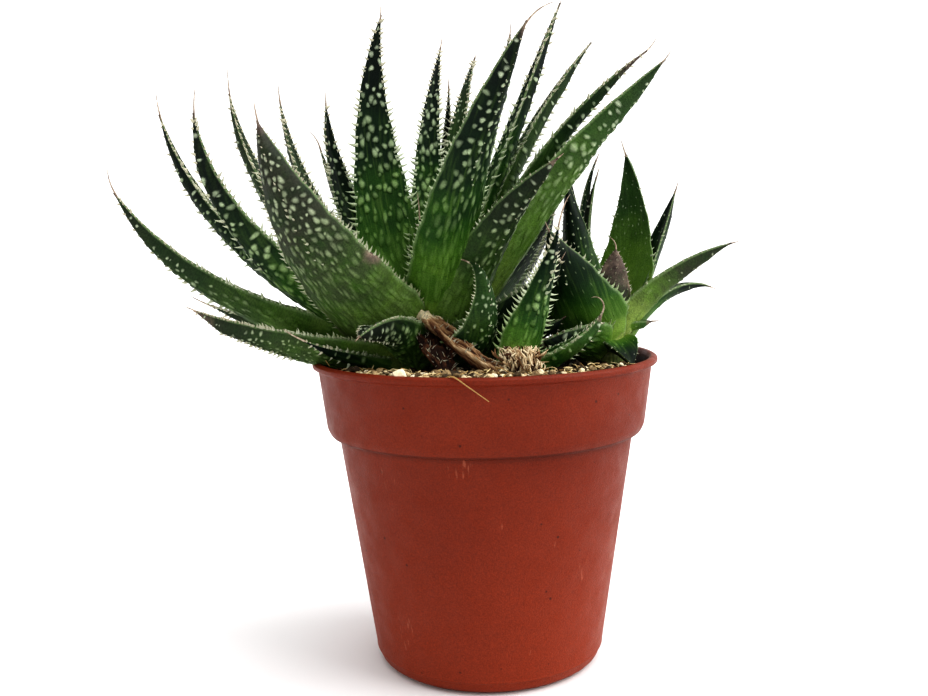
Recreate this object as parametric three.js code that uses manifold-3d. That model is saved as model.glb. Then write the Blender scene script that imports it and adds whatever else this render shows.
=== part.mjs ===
// A potted aloe: a crowded rosette of pointed leaves with a young offset beside it,
// growing in a round injection-moulded nursery pot full of potting mix.
// Millimetres, +Z up. The origin is the middle of the pot's foot, +X to the right, +Y to the back.
import * as THREE from 'three';
import { mergeVertices } from 'three/addons/utils/BufferGeometryUtils.js';
import Module from 'manifold-3d';

const wasm = await Module();
wasm.setup();

// ---- Driving dimensions ----
const gap = 0.4;           // clearance between touching pieces
const roundSteps = 40;     // facets around the pot and the soil

const pot = {
  height: 94,
  rimRadius: 52.5,
  lipRadius: 50.8,         // top of the collar, under the rolled lip
  collarRadius: 48.6,      // bottom of the collar
  collarBottom: 73.6,
  neckRadius: 45.1,        // top of the tapered body, under the collar step
  neckHeight: 71,
  heelRadius: 35.4,        // bottom of the tapered body
  heelHeight: 4.3,
  footOuter: 32.2,
  footInner: 29,
  padRadius: 9,            // flat pad in the middle of the floor
  recess: 1.8,             // lift of the floor between pad and foot ring
  floorTop: 3,
  inside: [[49.9, 93], [47.5, 73.6], [44, 71.6], [34.3, 4.6]], // lip, step, neck and heel
  drainHoles: 6,
  drainRadius: 4,
  drainCircle: 20,
};

const soil = {
  level: 90.6,             // surface at the middle
  dip: 1.1,                // fall towards the wall
  slope: 0.045,            // rise towards the front
  lump: 0.9,               // height of the unevenness
  holePocket: 2.4,         // height of the hollow left over each drain hole
};

// Each crown is a short upright stem: the centre, its foot in the mix, its top, and how the
// leaf seats step in as they climb from the lowest leaf.
const crowns = {
  main: { x: -17, y: 0, foot: 70, top: 110, seatRadius: 9, seatHeight: 93, stepIn: 0.4 },
  offset: { x: 38, y: 4, foot: 76, top: 106, seatRadius: 5, seatHeight: 97, stepIn: 0.33 },
  sucker: { x: 6, y: -26, foot: 80, top: 96, seatRadius: 2, seatHeight: 92, stepIn: 0.2 },
};

const curl = 1.6;          // above 1, a leaf bends more towards its tip
const shoulder = 0.2;      // part of the length where a leaf is widest
const stations = 7;        // cross-sections along a leaf
const margin = 0.8;        // thickness of a leaf's edge
const sliver = 0.12;       // detail thinner than this is tidied away

// ---- Leaves ----
// Azimuth turns from +X towards +Y, seat is the height where the leaf joins its stem, rise is
// the angle above the horizontal at the base and at the tip, swing is the sideways turn along
// the leaf, twist rolls it about its length, and cup is the depth of its channel over half its
// width. A later leaf gives way where it meets an earlier one.
const leafFields = ['name', 'crown', 'azimuth', 'seat', 'rise', 'tipRise', 'swing',
  'length', 'width', 'thick', 'cup', 'twist'];
const leafRows = [
  // inner leaves of the main rosette, the tall ones
  ['inner_leaf_01', 'main', 292, 103, 61, 36, 8, 100, 20, 5.5, 0.28, 0],
  ['inner_leaf_02', 'main', 140, 103, 67, 111, 0, 99, 22, 5.0, 0.12, -48],
  ['inner_leaf_03', 'main', 19, 103, 69, 66, 0, 107, 10, 4.5, 0.40, 0],
  ['inner_leaf_04', 'main', 91, 103, 80, 54, -14, 97, 12, 4.0, 0.30, 0],
  ['inner_leaf_05', 'main', 144, 101, 50, 90, 0, 83, 14, 4.0, 0.30, -20],
  ['inner_leaf_06', 'main', 46, 103, 68, 72, 0, 99, 9, 4.0, 0.40, 0],
  ['inner_leaf_07', 'main', 77, 101, 68, 84, -2, 82, 8, 3.5, 0.40, 0],
  // middle leaves
  ['middle_leaf_01', 'main', 226, 97, 37, 76, -1, 84, 27, 6.0, 0.20, 35],
  ['middle_leaf_02', 'main', 319, 98, 62, 31, 0, 69, 21, 5.5, 0.28, -10],
  ['middle_leaf_03', 'main', 355, 100, 55, 44, 0, 104, 20, 6.0, 0.40, -30],
  ['middle_leaf_04', 'main', 196, 98, 26, 89, 1, 96, 17, 5.5, 0.42, 22],
  ['middle_leaf_05', 'main', 172, 97, 25, 76, 1, 110, 14, 5.0, 0.40, 10],
  ['middle_leaf_06', 'main', 26, 100, 68, 47, -3, 106, 12, 4.5, 0.40, -10],
  ['middle_leaf_07', 'main', 8, 99, 66, 34, -3, 108, 11, 4.5, 0.40, -15],
  ['middle_leaf_08', 'main', 67, 100, 80, 54, -4, 96, 11, 4.0, 0.30, 0],
  ['middle_leaf_09', 'main', 160, 98, 36, 82, 3, 103, 14, 4.5, 0.40, 5],
  ['middle_leaf_10', 'main', 143, 98, 41, 80, 4, 99, 10, 4.0, 0.40, 0],
  ['middle_leaf_11', 'main', 134, 100, 43, 71, 5, 78, 8, 3.5, 0.40, 0],
  // outer leaves, low over the rim, and short old ones at the front
  ['outer_leaf_01', 'main', 185, 95, 14, 60, 0, 101, 17, 6.0, 0.35, 22],
  ['outer_leaf_02', 'main', 203, 93, 9, 30, 0, 64, 18, 6.0, 0.30, 18],
  ['outer_leaf_03', 'main', 178, 93, 13, 23, 0, 62, 9, 3.5, 0.40, 10],
  ['outer_leaf_04', 'main', 250, 95, 36, -25, -3, 40, 14, 7.0, 0.25, 15],
  ['outer_leaf_05', 'main', 302, 94, 5, 160, 8, 47, 21, 4.0, 0.35, 0],
  ['outer_leaf_06', 'main', 215, 92, 11, 26, 0, 34, 7, 3.5, 0.30, 10],
  ['outer_leaf_07', 'main', 336, 94, 30, 58, 0, 46, 22, 5.0, 0.30, -20],
  // outer leaves at the back
  ['outer_leaf_08', 'main', 38, 95, 38, 54, 0, 62, 26, 5.5, 0.30, 0],
  ['outer_leaf_09', 'main', 66, 94, 16, 42, 0, 66, 16, 5.5, 0.30, 0],
  ['outer_leaf_10', 'main', 96, 95, 20, 60, 0, 70, 17, 5.5, 0.30, 0],
  ['outer_leaf_11', 'main', 122, 94, 14, 48, 0, 68, 15, 5.5, 0.30, 0],
  ['outer_leaf_12', 'main', 150, 94, 16, 40, 0, 44, 13, 5.0, 0.30, 0],
  ['outer_leaf_13', 'main', 354, 94, 10, 34, 0, 35, 20, 4.5, 0.30, -10],
  // young leaves in the heart of the main rosette
  ['heart_leaf_01', 'main', 60, 107, 74, 88, 0, 24, 8, 3.0, 0.40, 0],
  ['heart_leaf_02', 'main', 110, 107, 76, 90, 0, 30, 8, 3.0, 0.40, 0],
  ['heart_leaf_03', 'main', 350, 107, 78, 90, 0, 30, 7, 3.0, 0.40, 0],
  // leaves of the offset
  ['offset_leaf_01', 'offset', 52, 100, 56, 128, 5, 60, 22, 4.0, 0.22, 0],
  ['offset_leaf_02', 'offset', 220, 97, 60, 62, 0, 40, 26, 4.5, 0.25, 35],
  ['offset_leaf_03', 'offset', 33, 98, 60, 64, 0, 52, 10, 4.0, 0.35, 0],
  ['offset_leaf_04', 'offset', 350, 101, 48, 18, 0, 43, 11, 4.0, 0.40, -20],
  ['offset_leaf_05', 'offset', 138, 99, 78, 82, 0, 50, 9, 3.5, 0.30, 0],
  ['offset_leaf_06', 'offset', 116, 100, 66, 128, 4, 56, 6, 3.0, 0.35, 0],
  ['offset_leaf_07', 'offset', 170, 99, 84, 106, 0, 49, 6, 3.0, 0.35, 0],
  ['offset_leaf_08', 'offset', 23, 97, 50, -20, 0, 40, 8, 3.5, 0.35, 0],
  ['offset_leaf_09', 'offset', 285, 98, 84, 76, 0, 28, 12, 2.5, 0.25, 0],
  ['offset_leaf_10', 'offset', 290, 98, -12, -55, 0, 15, 12, 3.5, 0.25, 0],
  ['offset_leaf_11', 'offset', 348, 102, 8, 4, 0, 11, 7, 3.5, 0.20, 0],
  ['offset_leaf_12', 'offset', 95, 97, 34, 62, 0, 42, 11, 4.0, 0.30, 0],
  ['offset_leaf_13', 'offset', 185, 99, 80, 84, 0, 50, 14, 4.0, 0.30, 70],
  ['offset_leaf_14', 'offset', 228, 95, 16, 0, 0, 27, 20, 4.0, 0.25, 30],
  // leaves of the small sucker at the front
  ['sucker_leaf_01', 'sucker', 8, 93, 66, 78, 8, 42, 13, 3.5, 0.25, -72],
  ['sucker_leaf_02', 'sucker', 3, 92, 16, 62, -10, 31, 12, 4.0, 0.35, 0],
];

// Withered leaves: a route from the stem down to the mix, with the widest width and thickness.
const witheredRows = [
  { name: 'withered_leaf_01', width: 7.5, thick: 3.4,
    route: [[-18, -14, 107], [-12, -22, 103], [-4, -31, 97], [6, -40, 92]] },
  { name: 'withered_leaf_02', width: 12, thick: 3.6,
    route: [[-14, -12, 101], [-14, -19, 100.5], [-13, -27, 97], [-10, -33, 91.5]] },
];

// What is left of an old flower stalk, standing in the mix.
const stub = { x: 10, y: -36.5, foot: 87, top: 100, footRadius: 6, topRadius: 4.6, steps: 10 };

// ---- Materials ----
const material = (color, roughness) => new THREE.MeshStandardMaterial({ color, roughness, metalness: 0 });
const terracotta = material(0x8a3a22, 0.55);
const pottingMix = material(0x2a2019, 0.95);
const leafGreen = material(0x1f3d1a, 0.5);
const paleStem = material(0x7d8a4a, 0.6);
const driedLeaf = material(0x7a5230, 0.9);

// ---- Solids ----
const radians = THREE.MathUtils.degToRad;

// A three.js geometry as a manifold solid, with its faces turned outwards.
function solidOf(geometry) {
  const bare = new THREE.BufferGeometry();
  bare.setAttribute('position', geometry.getAttribute('position').clone());
  bare.setIndex(geometry.getIndex() ? geometry.getIndex().clone() : null);
  const merged = mergeVertices(bare, 1e-4);
  const vertProperties = new Float32Array(merged.getAttribute('position').array);
  const corners = Array.from(merged.getIndex().array);
  const triVerts = [];
  for (let i = 0; i < corners.length; i += 3) {
    const [a, b, c] = corners.slice(i, i + 3);
    if (a !== b && b !== c && c !== a) triVerts.push(a, b, c);
  }
  const build = (order) => new wasm.Manifold(new wasm.Mesh({
    numProp: 3,
    vertProperties,
    triVerts: new Uint32Array(order),
  }));
  const solid = build(triVerts);
  return solid.volume() > 0 ? solid : build(triVerts.slice().reverse());
}

// The largest piece of a solid, tidied of slivers, as a three.js geometry.
function geometryOf(solid) {
  const pieces = solid.simplify(sliver).decompose().sort((a, b) => b.volume() - a.volume());
  const mesh = pieces[0].getMesh();
  const geometry = new THREE.BufferGeometry();
  geometry.setAttribute('position', new THREE.BufferAttribute(mesh.vertProperties, 3));
  geometry.setIndex(new THREE.BufferAttribute(mesh.triVerts, 1));
  geometry.computeVertexNormals();
  return geometry;
}

// A turned solid from [radius, height] points that start and end on the axis.
function turned(points, steps, x = 0, y = 0) {
  const profile = points.map(([r, z]) => new THREE.Vector2(r, z));
  const lathe = new THREE.LatheGeometry(profile, steps);
  lathe.rotateX(Math.PI / 2);
  lathe.translate(x, y, 0);
  return lathe;
}

// The pot's section: outside up from the middle of its underside, over the lip, and down inside.
function potProfile() {
  const lipTop = pot.height;
  return [
    [0, 0], [pot.padRadius, 0], [pot.padRadius + 1.5, pot.recess],
    [pot.footInner - 1, pot.recess], [pot.footInner, 0], [pot.footOuter, 0],
    [pot.footOuter + 2.1, 1.4], [pot.heelRadius, pot.heelHeight],
    [pot.neckRadius, pot.neckHeight], [pot.collarRadius - 1, pot.neckHeight + 0.6],
    [pot.collarRadius, pot.collarBottom],
    [pot.lipRadius, lipTop - 2.6], [pot.rimRadius, lipTop - 1.8], [pot.rimRadius, lipTop - 0.6],
    [pot.rimRadius - 0.9, lipTop], [pot.rimRadius - 1.9, lipTop],
    ...pot.inside, [pot.footOuter - 0.7, pot.floorTop], [0, pot.floorTop],
  ];
}

function potSolid() {
  let body = solidOf(turned(potProfile(), roundSteps));
  for (let i = 0; i < pot.drainHoles; i += 1) {
    const angle = (i + 0.5) * 2 * Math.PI / pot.drainHoles;
    const drill = new THREE.CylinderGeometry(pot.drainRadius, pot.drainRadius, 4 * pot.floorTop, 12);
    drill.rotateX(Math.PI / 2);
    drill.translate(pot.drainCircle * Math.cos(angle), pot.drainCircle * Math.sin(angle), 0);
    body = body.subtract(solidOf(drill));
  }
  return body;
}

// Height of the mix at a point: lower towards the wall and the back, with slow lumps.
function soilHeight(x, y) {
  const out = Math.hypot(x, y) / pot.lipRadius;
  const lumps = Math.sin(0.21 * x + 1.3) * Math.cos(0.18 * y) + 0.5 * Math.sin(0.37 * y - 0.29 * x);
  return soil.level - soil.dip * out ** 2 - soil.slope * y + soil.lump * lumps * (1 - out ** 2);
}

function soilSolid() {
  const [lip, step, neck, heel] = pot.inside;
  const floor = pot.floorTop + gap;
  const edge = soil.level - soil.dip;
  const wallRadius = step[0] + (lip[0] - step[0]) * (edge - step[1]) / (lip[1] - step[1]);
  const geometry = turned([
    [0, floor], [pot.footOuter - 1.2, floor], [heel[0] - gap, heel[1] + gap],
    [neck[0] - gap, neck[1] + gap], [step[0] - gap, step[1] + gap],
    [wallRadius - gap, edge], [0.7 * wallRadius, edge], [0.4 * wallRadius, edge], [0, edge],
  ], roundSteps);
  const place = geometry.getAttribute('position');
  for (let i = 0; i < place.count; i += 1) {
    if (place.getZ(i) > edge - 0.01) place.setZ(i, soilHeight(place.getX(i), place.getY(i)));
  }
  let body = solidOf(geometry);
  for (let i = 0; i < pot.drainHoles; i += 1) {
    const angle = (i + 0.5) * 2 * Math.PI / pot.drainHoles;
    const pocket = new THREE.CylinderGeometry(
      pot.drainRadius - gap, pot.drainRadius + gap, 2 * soil.holePocket, 8);
    pocket.rotateX(Math.PI / 2);
    pocket.translate(pot.drainCircle * Math.cos(angle), pot.drainCircle * Math.sin(angle), floor);
    body = body.subtract(solidOf(pocket));
  }
  return body;
}

// Radius at which a leaf sits on a crown at a height.
const seatRadius = (crown, z) => crown.seatRadius - crown.stepIn * (z - crown.seatHeight);

function stemSolid(crown, grow = 0) {
  const { foot, top, x, y } = crown;
  const radiusAt = (z) => seatRadius(crown, z) + 1 + grow;
  const neck = top - 3;
  return solidOf(turned([
    [0, foot - grow], [0.7 * radiusAt(crown.seatHeight), foot - grow],
    [radiusAt(crown.seatHeight), crown.seatHeight - 6], [radiusAt(crown.seatHeight), crown.seatHeight],
    [Math.max(1, radiusAt(neck)), neck], [0, top + grow],
  ], 16, x, y));
}

// Half the width of a leaf, as a part of its greatest half width.
function plumpness(s) {
  if (s < shoulder) return 0.75 + 0.25 * Math.sin(0.5 * Math.PI * s / shoulder);
  return 1 - ((s - shoulder) / (1 - shoulder)) ** 1.5;
}

// Frames along a leaf's midline: a point, the way along it, the way across it and its upper side.
function leafFrames(leaf) {
  const crown = crowns[leaf.crown];
  const reach = seatRadius(crown, leaf.seat);
  const start = radians(leaf.azimuth);
  const point = new THREE.Vector3(
    crown.x + reach * Math.cos(start), crown.y + reach * Math.sin(start), leaf.seat);
  const steps = 4 * stations;
  const frames = [];
  for (let i = 0; i <= steps; i += 1) {
    const s = i / steps;
    const e = radians(leaf.rise + (leaf.tipRise - leaf.rise) * s ** curl);
    const a = radians(leaf.azimuth + leaf.swing * s);
    const roll = radians(leaf.twist);
    const along = new THREE.Vector3(Math.cos(e) * Math.cos(a), Math.cos(e) * Math.sin(a), Math.sin(e));
    const side = new THREE.Vector3(-Math.sin(a), Math.cos(a), 0);
    const upper = new THREE.Vector3().crossVectors(along, side);
    const across = side.clone().multiplyScalar(Math.cos(roll)).addScaledVector(upper, Math.sin(roll));
    const up = upper.multiplyScalar(Math.cos(roll)).addScaledVector(side, -Math.sin(roll));
    if (i % 4 === 0) frames.push({ s, point: point.clone(), along, across, up });
    point.addScaledVector(along, leaf.length / steps);
  }
  return frames;
}

// A closed blade through frames: a channelled upper side, a rounded underside and thin margins.
function bladeSolid(frames, shape, grow = 0) {
  const vertices = [];
  const rings = frames.length - 1;
  frames.forEach(({ s, point, along, across, up }, index) => {
    if (index === rings) {
      vertices.push(point.clone().addScaledVector(along, 2 * grow));
      return;
    }
    const half = 0.5 * shape.width * plumpness(s) + grow;
    const depth = shape.thick * (1 - 0.6 * s) + grow;
    const edge = 0.5 * margin * (1 - 0.5 * s) + grow;
    const lift = shape.cup * half;
    const centre = index === 0 ? point.clone().addScaledVector(along, -grow) : point;
    const section = [
      [-1, lift + edge], [0, edge], [1, lift + edge], [1, lift - edge],
      [0.6, 0.4 * lift - 0.68 * depth], [0, -depth], [-0.6, 0.4 * lift - 0.68 * depth],
      [-1, lift - edge],
    ];
    section.forEach(([u, v]) => {
      vertices.push(centre.clone().addScaledVector(across, u * half).addScaledVector(up, v));
    });
  });
  const sides = 8;
  const faces = [];
  const channel = 1; // the bottom of the channel sees every other corner of the section
  for (let k = 1; k < sides - 1; k += 1) {
    faces.push(channel, (channel + k) % sides, (channel + k + 1) % sides);
  }
  for (let ring = 0; ring < rings - 1; ring += 1) {
    for (let k = 0; k < sides; k += 1) {
      const a = ring * sides + k;
      const b = ring * sides + (k + 1) % sides;
      faces.push(a, a + sides, b, b, a + sides, b + sides);
    }
  }
  const last = (rings - 1) * sides;
  for (let k = 0; k < sides; k += 1) faces.push(last + k, rings * sides, last + (k + 1) % sides);
  const geometry = new THREE.BufferGeometry();
  geometry.setFromPoints(vertices);
  geometry.setIndex(faces);
  return solidOf(geometry);
}

// Frames along a withered leaf's route, kept level across.
function routeFrames(route) {
  const curve = new THREE.CatmullRomCurve3(route.map((p) => new THREE.Vector3(...p)));
  const frames = [];
  for (let i = 0; i <= stations; i += 1) {
    const s = i / stations;
    const along = curve.getTangent(s);
    const across = new THREE.Vector3(-along.y, along.x, 0).normalize();
    const up = new THREE.Vector3().crossVectors(along, across);
    frames.push({ s, point: curve.getPoint(s), along, across, up });
  }
  return frames;
}

// ---- Assembly ----
const object = new THREE.Group();

function place(name, solid, finish) {
  const mesh = new THREE.Mesh(geometryOf(solid), finish);
  mesh.name = name;
  object.add(mesh);
}

const leaves = leafRows.map((row) => Object.fromEntries(row.map((value, i) => [leafFields[i], value])));

place('pot', potSolid(), terracotta);

let taken = potSolid();
for (const [name, crown] of Object.entries(crowns)) {
  place(`${name}_stem`, stemSolid(crown), paleStem);
  taken = taken.add(stemSolid(crown, gap));
}

for (const leaf of leaves) {
  const frames = leafFrames(leaf);
  place(leaf.name, bladeSolid(frames, leaf).subtract(taken), leafGreen);
  taken = taken.add(bladeSolid(frames, leaf, gap));
}

for (const row of witheredRows) {
  const frames = routeFrames(row.route);
  const shape = { ...row, cup: 0.3 };
  place(row.name, bladeSolid(frames, shape).subtract(taken), driedLeaf);
  taken = taken.add(bladeSolid(frames, shape, gap));
}

const stubProfile = (grow) => [
  [0, stub.foot - grow], [stub.footRadius + grow, stub.foot - grow],
  [stub.topRadius + grow, stub.top + grow], [0, stub.top + grow],
];
const stubSolid = (grow) => solidOf(turned(stubProfile(grow), stub.steps, stub.x, stub.y));
place('old_stalk_stub', stubSolid(0).subtract(taken), driedLeaf);
taken = taken.add(stubSolid(gap));

place('potting_mix', soilSolid().subtract(taken), pottingMix);

export default object;
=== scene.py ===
import math
import random

import bmesh
import bpy
import numpy as np
from mathutils import Matrix, Vector, noise


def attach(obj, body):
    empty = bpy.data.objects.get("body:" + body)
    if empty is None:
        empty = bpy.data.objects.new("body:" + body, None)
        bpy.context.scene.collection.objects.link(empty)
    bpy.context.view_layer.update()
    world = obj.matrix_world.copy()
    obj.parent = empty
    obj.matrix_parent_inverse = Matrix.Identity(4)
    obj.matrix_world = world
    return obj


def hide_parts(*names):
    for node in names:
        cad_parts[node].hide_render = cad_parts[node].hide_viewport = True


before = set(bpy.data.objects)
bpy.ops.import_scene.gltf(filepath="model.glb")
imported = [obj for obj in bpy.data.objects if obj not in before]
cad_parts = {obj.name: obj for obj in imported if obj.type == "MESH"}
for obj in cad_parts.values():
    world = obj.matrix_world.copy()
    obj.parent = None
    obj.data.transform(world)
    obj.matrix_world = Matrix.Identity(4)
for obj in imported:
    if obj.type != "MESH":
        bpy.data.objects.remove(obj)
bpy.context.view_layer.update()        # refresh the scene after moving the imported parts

mm = 0.001
scene = bpy.context.scene
scene.view_settings.view_transform = "Standard"
scene.view_settings.look = "High Contrast"   # deep greens go darker and the white sweep stays white


def linearColour(hexText):
    channels = [int(hexText[i:i + 2], 16) / 255 for i in (1, 3, 5)]
    return [c / 12.92 if c <= 0.04045 else ((c + 0.055) / 1.055) ** 2.4 for c in channels] + [1.0]


def feed(tree, socket, value):
    # a number, a hex colour, a socket, or a node that stands for the first output it shows
    if isinstance(value, bpy.types.Node):
        value = next(output for output in value.outputs if output.enabled)
    if isinstance(value, bpy.types.NodeSocket):
        tree.links.new(value, socket)
    else:
        socket.default_value = linearColour(value) if isinstance(value, str) else value


def addNode(tree, kind, inputs=(), stops=None, **settings):
    # inputs go by name in a dictionary, or in the order the node shows them in a tuple, so that a
    # MapRange takes the value, then from, from, to, to, and a Mix its factor and two colours
    node = tree.nodes.new("ShaderNode" + kind)
    for name, value in settings.items():
        setattr(node, name, value)
    if isinstance(inputs, dict):
        for name, value in inputs.items():
            feed(tree, node.inputs[name], value)
    else:
        for socket, value in zip([socket for socket in node.inputs if socket.enabled], inputs):
            feed(tree, socket, value)
    if stops:
        elements = node.color_ramp.elements
        elements.remove(elements[1])
        elements[0].position, elements[0].color = stops[0][0], linearColour(stops[0][1])
        for place, hexText in stops[1:]:
            elements.new(place).color = linearColour(hexText)
    return node


def newMaterial(name, **values):
    material = bpy.data.materials.new(name)
    material.use_nodes = True
    tree = material.node_tree
    tree.nodes.clear()
    shader = addNode(tree, "BsdfPrincipled", {k.replace("_", " "): v for k, v in values.items()})
    addNode(tree, "OutputMaterial", {"Surface": shader})
    return material, tree, shader


def wire(tree, shader, **sockets):
    for name, value in sockets.items():
        feed(tree, shader.inputs[name.replace("_", " ")], value)


# ---- gathering many small shells into one mesh ----
def newBag():
    return {"points": [], "faces": [], "picks": [], "marks": {}, "count": 0}


def addShell(bag, points, faces, pick=0, **marks):
    # marks are numbers, or lists with one value for each point
    points = np.asarray(points, float)
    start = bag["count"]
    bag["points"].append(points)
    bag["faces"].extend([tuple(start + i for i in face) for face in faces])
    bag["picks"].extend([pick] * len(faces))
    for name, value in marks.items():
        form = (len(points), 3) if name == "place" else len(points)
        value = np.broadcast_to(np.asarray(value, float), form)
        bag["marks"].setdefault(name, []).append((start, value))
    bag["count"] += len(points)


def stampShells(bag, template, frames, pick=0, **marks):
    # frames are (origin, xAxis, yAxis, zAxis) in mm, and marks hold one value for each frame
    shape, faces = template
    for i, (origin, xAxis, yAxis, zAxis) in enumerate(frames):
        points = origin + shape[:, :1] * xAxis + shape[:, 1:2] * yAxis + shape[:, 2:] * zAxis
        addShell(bag, points, faces, pick, **{name: values[i] for name, values in marks.items()})


def makePiece(name, bag, materials, stands=(), smooth=True):
    points = np.concatenate(bag["points"]) * mm
    mesh = bpy.data.meshes.new(name)
    mesh.from_pydata(points.tolist(), [], bag["faces"])
    for material in materials:
        mesh.materials.append(material)
    mesh.polygons.foreach_set("material_index", bag["picks"])
    mesh.polygons.foreach_set("use_smooth", [smooth] * len(mesh.polygons))
    for markName, parts in bag["marks"].items():
        isVector = markName == "place"
        values = np.zeros((len(points), 3) if isVector else len(points), np.float32)
        for start, part in parts:
            values[start:start + len(part)] = part
        kind = "FLOAT_VECTOR" if isVector else "FLOAT"
        layer = mesh.attributes.new(markName, kind, "POINT")
        layer.data.foreach_set("vector" if isVector else "value", values.ravel())
    mesh.update()
    piece = bpy.data.objects.new(name, mesh)
    scene.collection.objects.link(piece)
    if stands:
        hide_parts(*stands)
    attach(piece, "root")
    return piece


def gridFaces(rows, columns, closed=False):
    # rows of points, columns in each; closed joins the last column to the first
    faces = []
    for row in range(rows - 1):
        for column in range(columns if closed else columns - 1):
            a, b = row * columns + column, row * columns + (column + 1) % columns
            faces.append((a, a + columns, b + columns, b))
    return faces


def poledFaces(rows, columns):
    # a closed grid whose first and last rows run in to one point each, stored after the grid
    faces = [face[::-1] for face in gridFaces(rows, columns, closed=True)]
    first, last = rows * columns, (rows - 1) * columns
    faces += [(first, (i + 1) % columns, i) for i in range(columns)]
    faces += [(first + 1, last + i, last + (i + 1) % columns) for i in range(columns)]
    return faces


def sleeveFaces(rows, columns):
    # a closed grid with a flat face over each end
    faces = [face[::-1] for face in gridFaces(rows, columns, closed=True)]
    faces.append(tuple(range(columns)))
    faces.append(tuple((rows - 1) * columns + k for k in range(columns))[::-1])
    return faces


def unit(vector):
    return vector / np.maximum(np.linalg.norm(vector, axis=-1, keepdims=True), 1e-9)


def tubePoints(path, radii, sides):
    # a closed tube along a path of points, with a point at each end
    path, radii = np.asarray(path, float), np.asarray(radii, float)
    along = unit(np.gradient(path, axis=0))
    side = unit(np.cross(along, np.array([0.3, -0.2, 0.93])))
    upper = np.cross(side, along)
    turn = np.linspace(0, 2 * math.pi, sides, endpoint=False)
    rings = path[:, None] + radii[:, None, None] * (
        np.cos(turn)[None, :, None] * side[:, None] + np.sin(turn)[None, :, None] * upper[:, None])
    points = np.vstack([rings.reshape(-1, 3), path[:1], path[-1:]])
    return points, [face[::-1] for face in poledFaces(len(path), sides)]


def curvePath(controls, count):
    # a smooth route through its control points (Catmull-Rom)
    p = np.asarray(controls, float)
    p = np.vstack([2 * p[0] - p[1], p, 2 * p[-1] - p[-2]])
    t = np.linspace(0, len(p) - 3 - 1e-6, count)
    i = t.astype(int)
    f = (t - i)[:, None]
    a, b, c, d = p[i], p[i + 1], p[i + 2], p[i + 3]
    return 0.5 * (2 * b + (c - a) * f + (2 * a - 5 * b + 4 * c - d) * f ** 2
                  + (3 * b - a - 3 * c + d) * f ** 3)


# ---- camera, floor and light ----
studio = {
    "cameraPlace": (0.0, -300.0, 129.2),  # mm
    "lookDown": 6.29, "lookLeft": 1.19, "lean": -1.2,   # degrees
    "lens": 37.9,
    "floorColour": "#e9e9e9", "floorReach": 60.0,   # metres each way
    "behind": 1.04, "before": 0.24,        # brightness of the studio behind the plant and before it
    "sweep": 1.0, "sweepFrom": 0.3, "sweepTo": 0.6,   # and low down, fading out above these heights
    "rightLight": 2.1, "topLight": 1.1, "leftLight": 0.1,   # watts a square metre
}


def makeStudio():
    pitch, yaw, roll = (math.radians(studio[k]) for k in ("lookDown", "lookLeft", "lean"))
    forward = Vector((-math.sin(yaw) * math.cos(pitch), math.cos(yaw) * math.cos(pitch), -math.sin(pitch)))
    right = Vector((math.cos(yaw), math.sin(yaw), 0))
    upper = right.cross(forward)
    right, upper = (right * math.cos(roll) + upper * math.sin(roll),
                    upper * math.cos(roll) - right * math.sin(roll))
    camera = bpy.data.objects.new("camera", bpy.data.cameras.new("camera"))
    scene.collection.objects.link(camera)
    camera.data.lens = studio["lens"]
    camera.data.clip_start = 0.005
    turn = Matrix((right, upper, -forward)).transposed().to_4x4()
    camera.matrix_world = Matrix.Translation(Vector(studio["cameraPlace"]) * mm) @ turn
    scene.camera = camera

    material = newMaterial("matteWhiteSweep", Base_Color=studio["floorColour"], Roughness=0.9)[0]
    mesh = bpy.data.meshes.new("floor")
    size = studio["floorReach"]
    corners = [(-size, -size, 0), (size, -size, 0), (size, size, 0), (-size, size, 0)]
    mesh.from_pydata(corners, [], [(0, 1, 2, 3)])
    mesh.materials.append(material)
    floor = bpy.data.objects.new("floor", mesh)
    scene.collection.objects.link(floor)

    world = bpy.data.worlds.new("studio")
    scene.world = world
    world.use_nodes = True
    tree = world.node_tree
    facing = addNode(tree, "TexCoord").outputs["Generated"]
    toward = addNode(tree, "SeparateXYZ", (facing,)).outputs
    walls = addNode(tree, "MapRange", (toward["Y"], -0.7, 0.75, studio["before"], studio["behind"]))
    low = addNode(tree, "MapRange", (
        toward["Z"], studio["sweepFrom"], studio["sweepTo"], studio["sweep"], 0.0))
    bright = addNode(tree, "Math", (walls, low), operation="MAXIMUM")
    feed(tree, tree.nodes["Background"].inputs["Strength"], bright)
    tree.nodes["Background"].inputs["Color"].default_value = (1, 1, 1, 1)

    lamps = {
        "rightSoftbox": ((0.8, -0.15, 0.6), studio["rightLight"]),
        "topSoftbox": ((0.1, -0.1, 1.0), studio["topLight"]),
        "leftSoftbox": ((-0.8, -0.35, 0.6), studio["leftLight"]),
    }
    for name, (place, power) in lamps.items():
        lamp = bpy.data.objects.new(name, bpy.data.lights.new(name, "SUN"))
        lamp.data.energy, lamp.data.angle = power, math.radians(55)
        scene.collection.objects.link(lamp)
        lamp.location = place
        lamp.rotation_euler = (-lamp.location).to_track_quat("-Z", "Y").to_euler()


makeStudio()
print("studio ready")


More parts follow.
